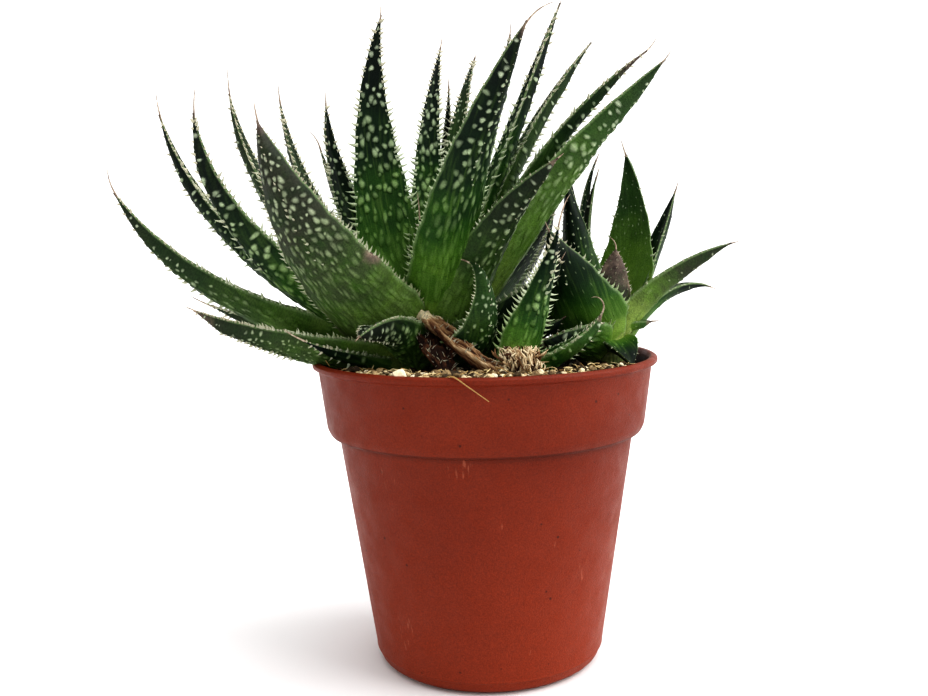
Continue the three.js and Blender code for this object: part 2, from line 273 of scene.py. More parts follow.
# ---- pot: injection-moulded polypropylene ----
pot = {
    # outside from the middle of the underside, over the lip and down inside, in mm, and how far
    # each corner is rounded
    "section": [
        (0, 0, 0), (9, 0, 0.4), (10.5, 1.8, 0.6), (28, 1.8, 0.6), (29, 0, 0.3), (32.2, 0, 0.8),
        (34.3, 1.4, 0.8), (35.15, 3.9, 0.15), (35.5, 4.1, 0.1), (35.55, 4.5, 0.1), (35.5, 4.75, 0.15),
        (45.1, 71, 0.7), (47.6, 71.6, 0.5), (48.6, 73.6, 0.9), (50.8, 91.4, 0.5), (52.5, 92.2, 0.4),
        (52.5, 93.4, 0.35), (51.6, 94, 0.3), (50.6, 94, 0.3), (49.9, 93, 0.6), (47.5, 73.6, 0.8),
        (44, 71.6, 0.8), (34.3, 4.6, 0.8), (31.5, 3, 0.8), (0, 3, 0)],
    "segments": 256,
    "drainCircle": 20.0, "drainRadius": 4.0, "drainHoles": 6,
    "body": "#70270f", "deep": "#6a230d", "bright": "#782c13",
    # of these colours, the light low tint is painted floor light on the lower wall, and the near black is
    # painted shade in the groove and on the inner wall
    "paintedFloorLight": "#87351a", "paintedShadeTint": "#1c0f0a", "pit": "#2c120b", "scuff": "#b9745a",
    "grooveHeight": 71.2, "lipHeight": 93.5, "paintedFloorLightTop": 75.0,   # mm
    "grain": 0.45,       # mm, the pebbles of the mould's skin
    "pitGap": 7.0,       # mm between dark pits
}


def roundedSection(corners, steps=5):
    points = []
    for i, (r, z, bend) in enumerate(corners):
        if i in (0, len(corners) - 1) or bend == 0:
            points.append((r, z))
            continue
        here = np.array((r, z))
        back, on = np.array(corners[i - 1][:2]) - here, np.array(corners[i + 1][:2]) - here
        reach = min(bend, 0.45 * np.linalg.norm(back), 0.45 * np.linalg.norm(on))
        a, b = here + unit(back) * reach, here + unit(on) * reach
        for t in np.linspace(0, 1, steps):
            points.append(tuple((1 - t) ** 2 * a + 2 * t * (1 - t) * here + t ** 2 * b))
    return points


def latheShell(section, segments, ripple=0.0):
    # the first and last points stand on the axis
    turn = np.linspace(0, 2 * math.pi, segments, endpoint=False)
    rings = []
    for r, z in section[1:-1]:
        out = r + ripple * np.sin(2 * turn + 0.6) * r / 50
        rings.append(np.stack([out * np.cos(turn), out * np.sin(turn), np.full(segments, z)], -1))
    points = np.vstack(rings + [[(0, 0, section[0][1])], [(0, 0, section[-1][1])]])
    return points, poledFaces(len(rings), segments)


def terracottaPlastic():
    # moulded polypropylene, pigmented terracotta: a soft, broken sheen over a finely pebbled skin
    material, tree, shader = newMaterial(
        "mouldedPolypropylene", Roughness=0.5, IOR=1.49, Specular_IOR_Level=0.24)
    where = addNode(tree, "TexCoord").outputs["Object"]
    height = addNode(tree, "SeparateXYZ", (where,)).outputs["Z"]
    cloud = addNode(tree, "TexNoise", {"Vector": where, "Scale": 1 / (40 * mm), "Detail": 4.0})
    tint = addNode(tree, "ValToRGB", (cloud,), stops=[
        (0.3, pot["deep"]), (0.5, pot["body"]), (0.75, pot["bright"])])
    # painted light: the lower wall is painted a little lighter, for the light thrown up from the floor
    low = addNode(tree, "MapRange", (height, pot["paintedFloorLightTop"] * mm, 0.0, 0.0, 0.8))
    tint = addNode(tree, "Mix", (low, tint, pot["paintedFloorLight"]), data_type="RGBA")
    # painted shade: the groove under the collar and the inner wall below the lip are painted near black for
    # the shadow that falls there
    grooveTop = pot["grooveHeight"] * mm
    rise = addNode(tree, "Math", (height, grooveTop), operation="SUBTRACT")
    grooveShade = addNode(tree, "MapRange", (rise, -1.6 * mm, 0.2 * mm, 0.0, 0.4))
    over = addNode(tree, "Math", (height, grooveTop + mm), operation="LESS_THAN")
    grooveShade = addNode(tree, "Math", (grooveShade, over), operation="MULTIPLY")
    normal = addNode(tree, "NewGeometry").outputs["Normal"]
    level = addNode(tree, "VectorMath", (normal, (1, 1, 0)), operation="MULTIPLY")
    outward = addNode(tree, "VectorMath", (level, where), operation="DOT_PRODUCT")
    inner = addNode(tree, "MapRange", (outward, -0.02, -0.03, 0.0, 1.0))
    lip = pot["lipHeight"] * mm
    belowLip = addNode(tree, "MapRange", (height, lip, lip - 2 * mm, 0.0, 0.9))
    inner = addNode(tree, "Math", (inner, belowLip), operation="MULTIPLY")
    paintedShadeMask = addNode(tree, "Math", (inner, grooveShade), operation="MAXIMUM")
    tint = addNode(tree, "Mix", (paintedShadeMask, tint, pot["paintedShadeTint"]), data_type="RGBA")
    # dark pits of dust, about 0.5 mm across
    pits = addNode(tree, "TexVoronoi", {
        "Vector": where, "Scale": 1 / (pot["pitGap"] * mm), "Randomness": 1.0})
    pitShade = addNode(tree, "MapRange", (pits, 0.035, 0.075, 0.75, 0.0))
    tint = addNode(tree, "Mix", (pitShade, tint, pot["pit"]), data_type="RGBA")
    # pale scuffs, long up the wall and hair thin
    stretched = addNode(tree, "Mapping", {"Vector": where, "Scale": (1, 1, 0.08)})
    scuff = addNode(tree, "TexNoise", {"Vector": stretched, "Scale": 1 / (1.1 * mm), "Detail": 2.0})
    patch = addNode(tree, "TexNoise", {"Vector": where, "Scale": 1 / (17 * mm), "Detail": 1.0})
    both = addNode(tree, "Math", (scuff, patch), operation="MULTIPLY")
    scuffShade = addNode(tree, "MapRange", (both, 0.465, 0.52, 0.0, 0.3))
    tint = addNode(tree, "Mix", (scuffShade, tint, pot["scuff"]), data_type="RGBA")
    pebble = addNode(tree, "TexNoise", {
        "Vector": where, "Scale": 1 / (pot["grain"] * mm), "Detail": 3.0, "Roughness": 0.6})
    wave = addNode(tree, "TexNoise", {"Vector": where, "Scale": 1 / (6 * mm), "Detail": 2.0})
    speck = addNode(tree, "MapRange", (pebble, 0.3, 0.7, 0.76, 1.2))
    tint = addNode(tree, "VectorMath", (tint, speck), operation="SCALE")
    rough = addNode(tree, "MapRange", (wave, 0.3, 0.7, 0.42, 0.58))
    soft = addNode(tree, "Bump", {"Height": wave, "Strength": 0.25, "Distance": 0.4 * mm})
    bump = addNode(tree, "Bump", {
        "Height": pebble, "Strength": 0.8, "Distance": 0.16 * mm, "Normal": soft})
    wire(tree, shader, Base_Color=tint, Roughness=rough, Normal=bump)
    return material


def makePot():
    bag = newBag()
    addShell(bag, *latheShell(roundedSection(pot["section"]), pot["segments"], ripple=0.12))
    piece = makePiece("nurseryPot", bag, [terracottaPlastic()], stands=["pot"])
    drills = newBag()
    for i in range(pot["drainHoles"]):
        angle = (i + 0.5) * 2 * math.pi / pot["drainHoles"]
        x, y = pot["drainCircle"] * math.cos(angle), pot["drainCircle"] * math.sin(angle)
        drill = tubePoints([(x, y, z) for z in (-3, 1, 4, 8)], [pot["drainRadius"]] * 4, 40)
        addShell(drills, *drill)
    mesh = bpy.data.meshes.new("drills")
    mesh.from_pydata((np.concatenate(drills["points"]) * mm).tolist(), [], drills["faces"])
    cutter = bpy.data.objects.new("drills", mesh)
    scene.collection.objects.link(cutter)
    cut = piece.modifiers.new("drain", "BOOLEAN")
    cut.operation, cut.solver, cut.object = "DIFFERENCE", "EXACT", cutter
    bpy.context.view_layer.update()
    evaluated = piece.evaluated_get(bpy.context.evaluated_depsgraph_get())
    drilled = bpy.data.meshes.new_from_object(evaluated)
    piece.modifiers.clear()
    piece.data = drilled
    drilled.name = "nurseryPot"
    bpy.data.objects.remove(cutter)
    drilled.set_sharp_from_angle(angle=math.radians(40))


makePot()
print("pot turned and drilled")


# ---- potting mix: peat and bark, with grit on top ----
mix = {
    "level": 90.6, "dip": 1.1, "slope": 0.045, "lump": 0.9, "lipRadius": 50.8,   # mm, as the CAD has it
    "wall": [(31.0, 3.4), (33.9, 5.0), (43.6, 72.0), (47.1, 74.0)],
    "rim": 49.0,
    "heapHeight": 1.3, "heapRadius": 43.0, "heapWidth": 6.0,    # grit heaped inside the front lip
    "peat": "#1d1611", "peatLight": "#3a2c20",
    "segments": 160, "rings": 44,
    "grains": 1500, "crumbs": 900, "chaff": 160, "strewn": 48.0,
    # share of the grains in the heap, then its bearing in degrees and its reach in mm, with spreads
    "heapShare": 0.72, "heapBearing": (-96, 34), "heapReach": (45.2, 2.6),
    # a rounded grain of pumice at the lip: its middle, then its three half axes
    "pumice": [(-22.4, -44.6, 94.0), (1.9, 0.2, 0.3), (-0.2, 1.6, 0.1), (-0.3, -0.1, 2.0)],
    # a straw caught over the lip, and a dry tendril looped at the left end of the mix
    "straw": [(-10.5, -49.2, 93.6), (-8.2, -51.4, 94.4), (-4.4, -53.1, 92.0), (1.0, -52.9, 88.0)],
    "tendril": [(-45.0, -19.0, 93.6), (-47.5, -16, 96.0), (-52.0, -12, 98.0), (-53.6, -10, 100.6),
                (-51.5, -10.5, 102.2), (-49.0, -12, 101.5)],
}


def mixHeight(x, y):
    out = math.hypot(x, y) / mix["lipRadius"]
    lumps = math.sin(0.21 * x + 1.3) * math.cos(0.18 * y) + 0.5 * math.sin(0.37 * y - 0.29 * x)
    z = mix["level"] - mix["dip"] * out ** 2 - mix["slope"] * y + mix["lump"] * lumps * (1 - out ** 2)
    front = max(0.0, -y / max(1e-6, math.hypot(x, y)) - 0.1)
    ring = math.exp(-((math.hypot(x, y) - mix["heapRadius"]) / mix["heapWidth"]) ** 2)
    return z + mix["heapHeight"] * ring * min(1.0, 1.6 * front)


def peatAndBark():
    # damp peat with bark dust: nearly black, matte, with lighter dry crumbs
    material, tree, shader = newMaterial("dampPeat", Roughness=0.95, IOR=1.4, Specular_IOR_Level=0.15)
    where = addNode(tree, "TexCoord").outputs["Object"]
    crumb = addNode(tree, "TexNoise", {"Vector": where, "Scale": 1 / (1.6 * mm), "Detail": 5.0})
    cells = addNode(tree, "TexVoronoi", {"Vector": where, "Scale": 1 / (1.2 * mm)})
    tint = addNode(tree, "ValToRGB", (crumb,), stops=[
        (0.35, mix["peat"]), (0.55, "#2a2018"), (0.72, mix["peatLight"])])
    bump = addNode(tree, "Bump", {"Height": cells, "Strength": 0.9, "Distance": 0.6 * mm})
    wire(tree, shader, Base_Color=tint, Normal=bump)
    return material


def looseGrain(name, stops, roughness):
    # crushed stone, bark or chaff, told apart by the colours it runs through
    material, tree, shader = newMaterial(name, Roughness=roughness, IOR=1.5, Specular_IOR_Level=0.25)
    tone = addNode(tree, "Attribute", attribute_name="tone").outputs["Fac"]
    where = addNode(tree, "TexCoord").outputs["Object"]
    speck = addNode(tree, "TexNoise", {"Vector": where, "Scale": 1 / (0.5 * mm), "Detail": 3.0})
    mixed = addNode(tree, "Math", (speck, 0.45, tone), operation="MULTIPLY_ADD")
    tint = addNode(tree, "ValToRGB", (mixed,), stops=stops)
    bump = addNode(tree, "Bump", {"Height": speck, "Strength": 0.6, "Distance": 0.15 * mm})
    wire(tree, shader, Base_Color=tint, Normal=bump)
    return material


def stoneTemplates(count, roughness, seed):
    # rough pebbles of unit radius, each its own shape
    templates = []
    for i in range(count):
        ball = bmesh.new()
        bmesh.ops.create_icosphere(ball, subdivisions=2, radius=1.0)
        points = np.array([v.co[:] for v in ball.verts])
        faces = [tuple(v.index for v in f.verts) for f in ball.faces]
        ball.free()
        swell = [1 + roughness * noise.noise(Vector(p) * 1.3 + Vector((seed, 7.0 * i, 0))) for p in points]
        # flat facets: a point may not stand out past a few random planes
        dice = random.Random(seed + i)
        points = points * np.array(swell)[:, None]
        for _ in range(9):
            normal = unit(np.array([dice.gauss(0, 1) for _ in range(3)]))
            over = points @ normal - dice.uniform(0.6, 0.85)
            points = points - np.maximum(over, 0)[:, None] * normal
        templates.append((points, faces))
    return templates


def randomFrame(dice, origin, sizes):
    turn = Matrix.Rotation(dice.uniform(0, 6.28), 3, "Z") @ Matrix.Rotation(dice.uniform(-0.6, 0.6), 3, "X")
    axes = np.array(turn.transposed())
    return (np.array(origin), axes[0] * sizes[0], axes[1] * sizes[1], axes[2] * sizes[2])


def layGrain(bag, dice, stones, angle, r, size, lift, limit, slim, flat, tones):
    # one grain on the mix: slim and flat are ranges of its other two sides over its size
    r = min(r, limit - size)
    x, y = r * math.cos(angle), r * math.sin(angle)
    sizes = (size, size * dice.uniform(*slim), size * dice.uniform(*flat))
    turned = randomFrame(dice, (x, y, mixHeight(x, y) + lift * size), sizes)
    gain, offset = tones
    stampShells(bag, dice.choice(stones), [turned], tone=[dice.random() ** 1.5 * gain + offset])


def makeMix():
    bag = newBag()
    segments = mix["segments"]
    turn = np.linspace(0, 2 * math.pi, segments, endpoint=False)
    rings = [[(r * math.cos(a), r * math.sin(a), z) for a in turn] for r, z in mix["wall"]]
    for r in np.linspace(mix["rim"], 1.0, mix["rings"]):
        ring = []
        for a in turn:
            x, y = r * math.cos(a), r * math.sin(a)
            rough = noise.fractal(Vector((x, y, 0)) * 0.45, 0.8, 2.1, 3)
            ring.append((x, y, mixHeight(x, y) + 0.55 * rough * min(1, (mix["rim"] - r) / 2 + 0.2)))
        rings.append(ring)
    points = np.array(rings).reshape(-1, 3)
    points = np.vstack([points, [(0, 0, mix["wall"][0][1]), (0, 0, mixHeight(0, 0))]])
    addShell(bag, points, poledFaces(len(rings), segments))
    makePiece("peatBed", bag, [peatAndBark()], stands=["potting_mix"])

    dice = random.Random(11)
    stones = stoneTemplates(6, 0.35, 3)
    grit, crumbs, chaff = newBag(), newBag(), newBag()
    for _ in range(mix["grains"]):
        # most lie in the heap behind the front lip
        if dice.random() < mix["heapShare"]:
            angle, r = math.radians(dice.gauss(*mix["heapBearing"])), dice.gauss(*mix["heapReach"])
        else:
            angle, r = dice.uniform(0, 2 * math.pi), mix["strewn"] * math.sqrt(dice.random())
        size = min(1.6, max(0.35, dice.lognormvariate(-0.42, 0.42)))
        lift = dice.uniform(-0.1, 0.9)
        layGrain(grit, dice, stones, angle, r, size, lift, mix["rim"], (0.6, 1), (0.5, 0.9), (0.85, -0.12))
    stampShells(grit, stones[0], [[np.array(row) for row in mix["pumice"]]], tone=[0.62])
    for _ in range(mix["crumbs"]):
        angle, r = dice.uniform(0, 2 * math.pi), mix["strewn"] * math.sqrt(dice.random())
        size = min(2.2, max(0.5, dice.lognormvariate(-0.1, 0.4)))
        layGrain(crumbs, dice, stones, angle, r, size, 0.15, 48.8, (0.4, 0.8), (0.3, 0.6), (1, 0))
    for _ in range(mix["chaff"]):
        # slivers of straw and root lying on the grit
        angle, r = math.radians(dice.gauss(-95, 45)), dice.uniform(38, 47)
        x, y = r * math.cos(angle), r * math.sin(angle)
        length, heading = dice.uniform(1.5, 4.5), dice.uniform(0, 2 * math.pi)
        step = np.array((math.cos(heading), math.sin(heading), dice.uniform(-0.1, 0.35))) * length / 2
        middle = np.array((x, y, mixHeight(x, y) + dice.uniform(0.5, 1.6)))
        bend = np.array((0, 0, dice.uniform(-0.3, 0.5)))
        path = curvePath([middle - step, middle + bend, middle + step], 7)
        if np.hypot(path[:, 0], path[:, 1]).max() > 49:
            continue
        addShell(chaff, *tubePoints(path, np.full(7, dice.uniform(0.08, 0.22)), 5), tone=dice.random())
    addShell(chaff, *tubePoints(curvePath(mix["straw"], 24), np.linspace(0.26, 0.12, 24), 6), tone=0.3)
    addShell(chaff, *tubePoints(curvePath(mix["tendril"], 30), np.linspace(0.16, 0.09, 30), 5), tone=0.35)
    grey = looseGrain("crushedGrit", [
        (0.12, "#3b3024"), (0.3, "#7a664a"), (0.55, "#b8a27c"), (0.8, "#ddd0b0"), (1.0, "#efe8d2")], 0.85)
    bark = looseGrain("barkCrumb", [
        (0.2, "#17100b"), (0.5, "#33231a"), (0.8, "#5b4230"), (1.0, "#7d6248")], 0.9)
    straws = looseGrain("driedStraw", [(0.2, "#6b4d2c"), (0.6, "#a88a58"), (1.0, "#d9c79a")], 0.8)
    makePiece("looseGrit", grit, [grey], smooth=False)
    makePiece("barkCrumbs", crumbs, [bark], smooth=False)
    makePiece("strawAndRoots", chaff, [straws])


makeMix()
print("potting mix filled and gritted")


# ---- stems: short, ringed with old leaf scars ----
crowns = {
    # centre, foot, top, radius at the lowest seat, its height and how the seats step in, in mm
    "main": (-17, 0, 70, 110, 9, 93, 0.4),
    "offset": (38, 4, 76, 106, 5, 97, 0.33),
    "sucker": (6, -26, 80, 96, 2, 92, 0.2),
}


def seatRadius(crown, z):
    radius, seat, stepIn = crowns[crown][4:]
    return radius - stepIn * (z - seat)


def stemTissue():
    # living stem wrapped in leaf bases: pale, waxy and a little fibrous
    material, tree, shader = newMaterial("paleStemTissue", Roughness=0.55, IOR=1.42, Coat_Weight=0.08)
    where = addNode(tree, "TexCoord").outputs["Object"]
    fibre = addNode(tree, "Mapping", {"Vector": where, "Scale": (1, 1, 0.15)})
    streak = addNode(tree, "TexNoise", {"Vector": fibre, "Scale": 1 / (0.8 * mm), "Detail": 3.0})
    tint = addNode(tree, "ValToRGB", (streak,), stops=[
        (0.3, "#3c4a22"), (0.55, "#66743a"), (0.8, "#8f955c")])
    bump = addNode(tree, "Bump", {"Height": streak, "Strength": 0.5, "Distance": 0.2 * mm})
    wire(tree, shader, Base_Color=tint, Normal=bump)
    return material


def makeStems():
    tissue = stemTissue()
    for crown, (x, y, foot, top, radius, seat, _) in crowns.items():
        section = [(0, foot), (0.7 * (radius + 1), foot), (radius + 1, seat - 6)]
        for z in np.arange(seat - 5, top - 3, 0.5):
            scar = 0.25 * math.sin(z * 2.1) ** 2
            section.append((max(0.9, seatRadius(crown, max(z, seat)) + 1 - scar), z))
        section += [(0.6, top - 0.8), (0, top)]
        bag = newBag()
        points, faces = latheShell(section, 48)
        addShell(bag, points + np.array((x, y, 0)), faces)
        makePiece(crown + "Stem", bag, [tissue], stands=[crown + "_stem"])


makeStems()
print("stems placed")


# ---- leaves ----
# each kind of leaf with its crown, and for every leaf: azimuth, seat height, rise at base and tip,
# swing, length, width, thickness, cup, twist
leafRows = {
    "inner_leaf": ("main", [
        (292, 103, 61, 36, 8, 100, 20, 5.5, 0.28, 0),
        (140, 103, 67, 111, 0, 99, 22, 5.0, 0.12, -48),
        (19, 103, 69, 66, 0, 107, 10, 4.5, 0.40, 0),
        (91, 103, 80, 54, -14, 97, 12, 4.0, 0.30, 0),
        (144, 101, 50, 90, 0, 83, 14, 4.0, 0.30, -20),
        (46, 103, 68, 72, 0, 99, 9, 4.0, 0.40, 0),
        (77, 101, 68, 84, -2, 82, 8, 3.5, 0.40, 0),
    ]),
    "middle_leaf": ("main", [
        (226, 97, 37, 76, -1, 84, 27, 6.0, 0.20, 35),
        (319, 98, 62, 31, 0, 69, 21, 5.5, 0.28, -10),
        (355, 100, 55, 44, 0, 104, 20, 6.0, 0.40, -30),
        (196, 98, 26, 89, 1, 96, 17, 5.5, 0.42, 22),
        (172, 97, 25, 76, 1, 110, 14, 5.0, 0.40, 10),
        (26, 100, 68, 47, -3, 106, 12, 4.5, 0.40, -10),
        (8, 99, 66, 34, -3, 108, 11, 4.5, 0.40, -15),
        (67, 100, 80, 54, -4, 96, 11, 4.0, 0.30, 0),
        (160, 98, 36, 82, 3, 103, 14, 4.5, 0.40, 5),
        (143, 98, 41, 80, 4, 99, 10, 4.0, 0.40, 0),
        (134, 100, 43, 71, 5, 78, 8, 3.5, 0.40, 0),
    ]),
    "outer_leaf": ("main", [
        (185, 95, 14, 60, 0, 101, 17, 6.0, 0.35, 22),
        (203, 93, 9, 30, 0, 64, 18, 6.0, 0.30, 18),
        (178, 93, 13, 23, 0, 62, 9, 3.5, 0.40, 10),
        (250, 95, 36, -25, -3, 40, 14, 7.0, 0.25, 15),
        (302, 94, 5, 160, 8, 47, 21, 4.0, 0.35, 0),
        (215, 92, 11, 26, 0, 34, 7, 3.5, 0.30, 10),
        (336, 94, 30, 58, 0, 46, 22, 5.0, 0.30, -20),
        (38, 95, 38, 54, 0, 62, 26, 5.5, 0.30, 0),
        (66, 94, 16, 42, 0, 66, 16, 5.5, 0.30, 0),
        (96, 95, 20, 60, 0, 70, 17, 5.5, 0.30, 0),
        (122, 94, 14, 48, 0, 68, 15, 5.5, 0.30, 0),
        (150, 94, 16, 40, 0, 44, 13, 5.0, 0.30, 0),
        (354, 94, 10, 34, 0, 35, 20, 4.5, 0.30, -10),
    ]),
    "heart_leaf": ("main", [
        (60, 107, 74, 88, 0, 24, 8, 3.0, 0.40, 0),
        (110, 107, 76, 90, 0, 30, 8, 3.0, 0.40, 0),
        (350, 107, 78, 90, 0, 30, 7, 3.0, 0.40, 0),
    ]),
    "offset_leaf": ("offset", [
        (52, 100, 56, 128, 5, 60, 22, 4.0, 0.22, 0),
        (220, 97, 60, 62, 0, 40, 26, 4.5, 0.25, 35),
        (33, 98, 60, 64, 0, 52, 10, 4.0, 0.35, 0),
        (350, 101, 48, 18, 0, 43, 11, 4.0, 0.40, -20),
        (138, 99, 78, 82, 0, 50, 9, 3.5, 0.30, 0),
        (116, 100, 66, 128, 4, 56, 6, 3.0, 0.35, 0),
        (170, 99, 84, 106, 0, 49, 6, 3.0, 0.35, 0),
        (23, 97, 50, -20, 0, 40, 8, 3.5, 0.35, 0),
        (285, 98, 84, 76, 0, 28, 12, 2.5, 0.25, 0),
        (290, 98, -12, -55, 0, 15, 12, 3.5, 0.25, 0),
        (348, 102, 8, 4, 0, 11, 7, 3.5, 0.20, 0),
        (95, 97, 34, 62, 0, 42, 11, 4.0, 0.30, 0),
        (185, 99, 80, 84, 0, 50, 14, 4.0, 0.30, 70),
        (228, 95, 16, 0, 0, 27, 20, 4.0, 0.25, 30),
    ]),
    "sucker_leaf": ("sucker", [
        (8, 93, 66, 78, 8, 42, 13, 3.5, 0.25, -72),
        (3, 92, 16, 62, -10, 31, 12, 4.0, 0.35, 0),
    ]),
}

# how a leaf is finished, unless leafFinish below says otherwise
leafDefaults = {
    "pale": 0.0,         # towards yellow-green
    "paleTip": 0.0,      # the same, over the outer half only
    "weather": 0.0,      # towards a dull grey
    "dryTip": 0.02,      # part of the length that has dried brown
    "furrow": 0.05,      # mm, depth of the long furrows of a thirsty leaf
    "spots": (2.6, 0.95, 0.34),   # mm between them, their size in mm, and where the raised ones begin
    "teeth": (1.8, 2.3),   # mm between them and their length
    "taper": 1.38,       # nearer 1, a leaf narrows sooner towards its tip
    "awn": (7, 12, 8),   # mm long, and how far it curls sideways and upwards in degrees
}
leafFinish = {
    "inner_leaf_01": {"awn": (9, 70, 0), "spots": (2.6, 1.0, 0.5), "teeth": (1.8, 1.2)},
    "inner_leaf_02": {"awn": (4, 30, 0), "spots": (3.0, 1.25, 0.3), "taper": 1.25},
    "inner_leaf_03": {"awn": (2, 0, 0), "teeth": (2.3, 2.7)},
    "inner_leaf_04": {"awn": (6, 5, 0), "spots": (2.6, 1.25, 0.1), "teeth": (1.8, 2.1)},
    "inner_leaf_05": {"awn": (4.5, 0, 10), "spots": (2.9, 1.1, 0.1)},
    "inner_leaf_06": {"awn": (5, 10, 10)},
    "inner_leaf_07": {"awn": (4, 0, 0), "teeth": (1.7, 1.7)},
    "middle_leaf_01": {"awn": (6, 0, 20), "pale": 0.3, "paleTip": -0.1, "weather": 0.8,
                       "spots": (2.2, 0.92, 0.5), "teeth": (1.3, 1.5), "dryTip": 0.05, "taper": 1.75},
    "middle_leaf_02": {"awn": (2.2, 60, 40), "pale": 0.15, "weather": 0.35, "spots": (2.6, 0.95, 0.45),
                       "dryTip": 0.06, "teeth": (1.8, 1.1)},
    "middle_leaf_03": {"awn": (4, -30, 0), "pale": 0.55, "paleTip": 0.25, "furrow": 0.14,
                       "spots": (2.2, 0.9, 0.55), "teeth": (1.8, 1.1), "weather": 0.3},
    "middle_leaf_04": {"awn": (8, 0, 14), "teeth": (1.9, 3.0), "spots": (2.2, 1.0, 0.34), "weather": 0.12,
                       "taper": 1.25},
    "middle_leaf_05": {"awn": (8, 0, 12), "furrow": 0.14, "spots": (2.1, 0.85, 0.34), "teeth": (1.6, 2.3),
                       "taper": 1.2},
    "middle_leaf_06": {"awn": (1.5, 0, 0), "pale": 0.25, "weather": 0.15},
    "middle_leaf_07": {"awn": (6, -20, 30), "dryTip": 0.12, "pale": 0.2, "furrow": 0.1},
    "middle_leaf_08": {"awn": (2.5, 0, 0), "pale": 0.25, "weather": 0.2, "spots": (2.6, 0.8, 0.34)},
    "middle_leaf_09": {"awn": (9, 5, 14), "furrow": 0.1, "spots": (2.0, 0.72, 0.34), "pale": 0.3,
                       "weather": 0.3, "teeth": (1.8, 2.7), "taper": 1.25},
    "middle_leaf_10": {"awn": (6, 0, 10), "pale": 0.3, "weather": 0.3, "spots": (2.1, 0.75, 0.34),
                       "teeth": (1.8, 2.6), "taper": 1.25},
    "middle_leaf_11": {"awn": (7, 40, -20), "teeth": (1.8, 1.6)},
    "outer_leaf_01": {"awn": (9, 0, 35), "furrow": 0.18, "spots": (1.9, 0.58, 0.6), "teeth": (1.6, 2.2),
                      "pale": 0.3, "weather": 0.3, "taper": 1.25},
    "outer_leaf_02": {"awn": (3, 40, -20), "weather": 0.5, "furrow": 0.16, "spots": (1.6, 0.5, 0.34),
                      "teeth": (0.9, 2.1), "pale": 0.35, "dryTip": 0.01},
    "outer_leaf_03": {"pale": 0.3, "weather": 0.4, "furrow": 0.14, "spots": (2.0, 0.6, 0.34),
                      "teeth": (1.2, 2.3)},
    "outer_leaf_04": {"awn": (1.5, 0, 0), "weather": 0.3, "spots": (1.9, 0.9, 0.05), "teeth": (1.1, 1.4),
                      "taper": 2.4},
    "outer_leaf_05": {"awn": (7, 0, 25), "teeth": (1.2, 1.1), "spots": (2.0, 0.6, 0.2), "paleTip": 0.5,
                      "dryTip": 0.0, "taper": 1.0},
    "outer_leaf_06": {"spots": (2.6, 0.8, 0.1), "teeth": (1.5, 2.3)},
    "outer_leaf_07": {"awn": (2, 0, 0), "spots": (3.4, 0.6, 0.9)},
    "outer_leaf_08": {"awn": (2, 0, 0), "spots": (3.0, 0.6, 0.6)},
    "outer_leaf_13": {"awn": (2, 0, 0), "spots": (3.6, 0.5, 0.9)},
    # offset_leaf_01: its yellow-green is partly the young leaf's own colour and partly painted light, raised
    # to brighten a leaf that faces away from the lamps
    "offset_leaf_01": {"awn": (5, 0, 0), "pale": 0.7, "taper": 1.25, "spots": (2.4, 0.35, 0.5),
                       "teeth": (2.0, 1.1)},
    "offset_leaf_02": {"awn": (2, 0, 0), "spots": (3.4, 0.4, 0.6), "teeth": (1.9, 1.4)},
    "offset_leaf_03": {"awn": (3, 0, 10), "spots": (2.6, 0.5, 0.34), "teeth": (1.8, 0.9)},
    "offset_leaf_04": {"awn": (2, 0, -10), "pale": 0.9, "paleTip": -0.35, "weather": 0.85,
                       "spots": (2.6, 0.5, 0.34), "teeth": (1.8, 0.8), "furrow": 0.12, "taper": 1.2},
    "offset_leaf_05": {"spots": (4, 0.3, 0.34), "teeth": (1.8, 0.9)},
    "offset_leaf_06": {"awn": (2.5, 0, 0), "spots": (2.6, 0.4, 0.34), "teeth": (1.8, 0.9)},
    "offset_leaf_07": {"awn": (3, 0, 0), "weather": 0.4, "spots": (2.6, 0.5, 0.34), "teeth": (1.8, 0.9)},
    "offset_leaf_08": {"awn": (2, 0, 0), "spots": (2.6, 0.4, 0.34), "teeth": (1.8, 0.8)},
    "offset_leaf_09": {"awn": (4, -80, 10), "pale": 0.6, "weather": 1.3, "dryTip": 0.45,
                       "spots": (2.6, 0.35, 0.34), "teeth": (1.1, 1.1), "taper": 3.2},
    "offset_leaf_10": {"awn": (1.5, 0, 0), "spots": (2.6, 0.35, 0.34), "teeth": (1.8, 0.7)},
    "offset_leaf_11": {"awn": (1, 0, 0), "pale": 1.0, "spots": (2.6, 0.3, 0.34), "teeth": (1.8, 0.5),
                       "dryTip": 0.2},
    "offset_leaf_12": {"spots": (2.6, 0.4, 0.34), "teeth": (1.8, 0.8)},
    "offset_leaf_13": {"spots": (2.6, 0.4, 0.34), "teeth": (1.8, 0.9)},
    "sucker_leaf_01": {"awn": (11, 50, 30), "spots": (2.5, 1.1, 0.3), "teeth": (1.4, 2.3), "dryTip": 0.03,
                       "taper": 1.15},
    "sucker_leaf_02": {"awn": (6, 0, 150), "teeth": (1.4, 1.7), "spots": (2.6, 0.8, 0.2), "paleTip": 0.95,
                       "dryTip": 0.1},
}
leafShape = {
    "curl": 1.6, "shoulder": 0.2, "steps": 28, "edge": 0.8,   # as the CAD has them
    "rings": 76, "across": 15,
}
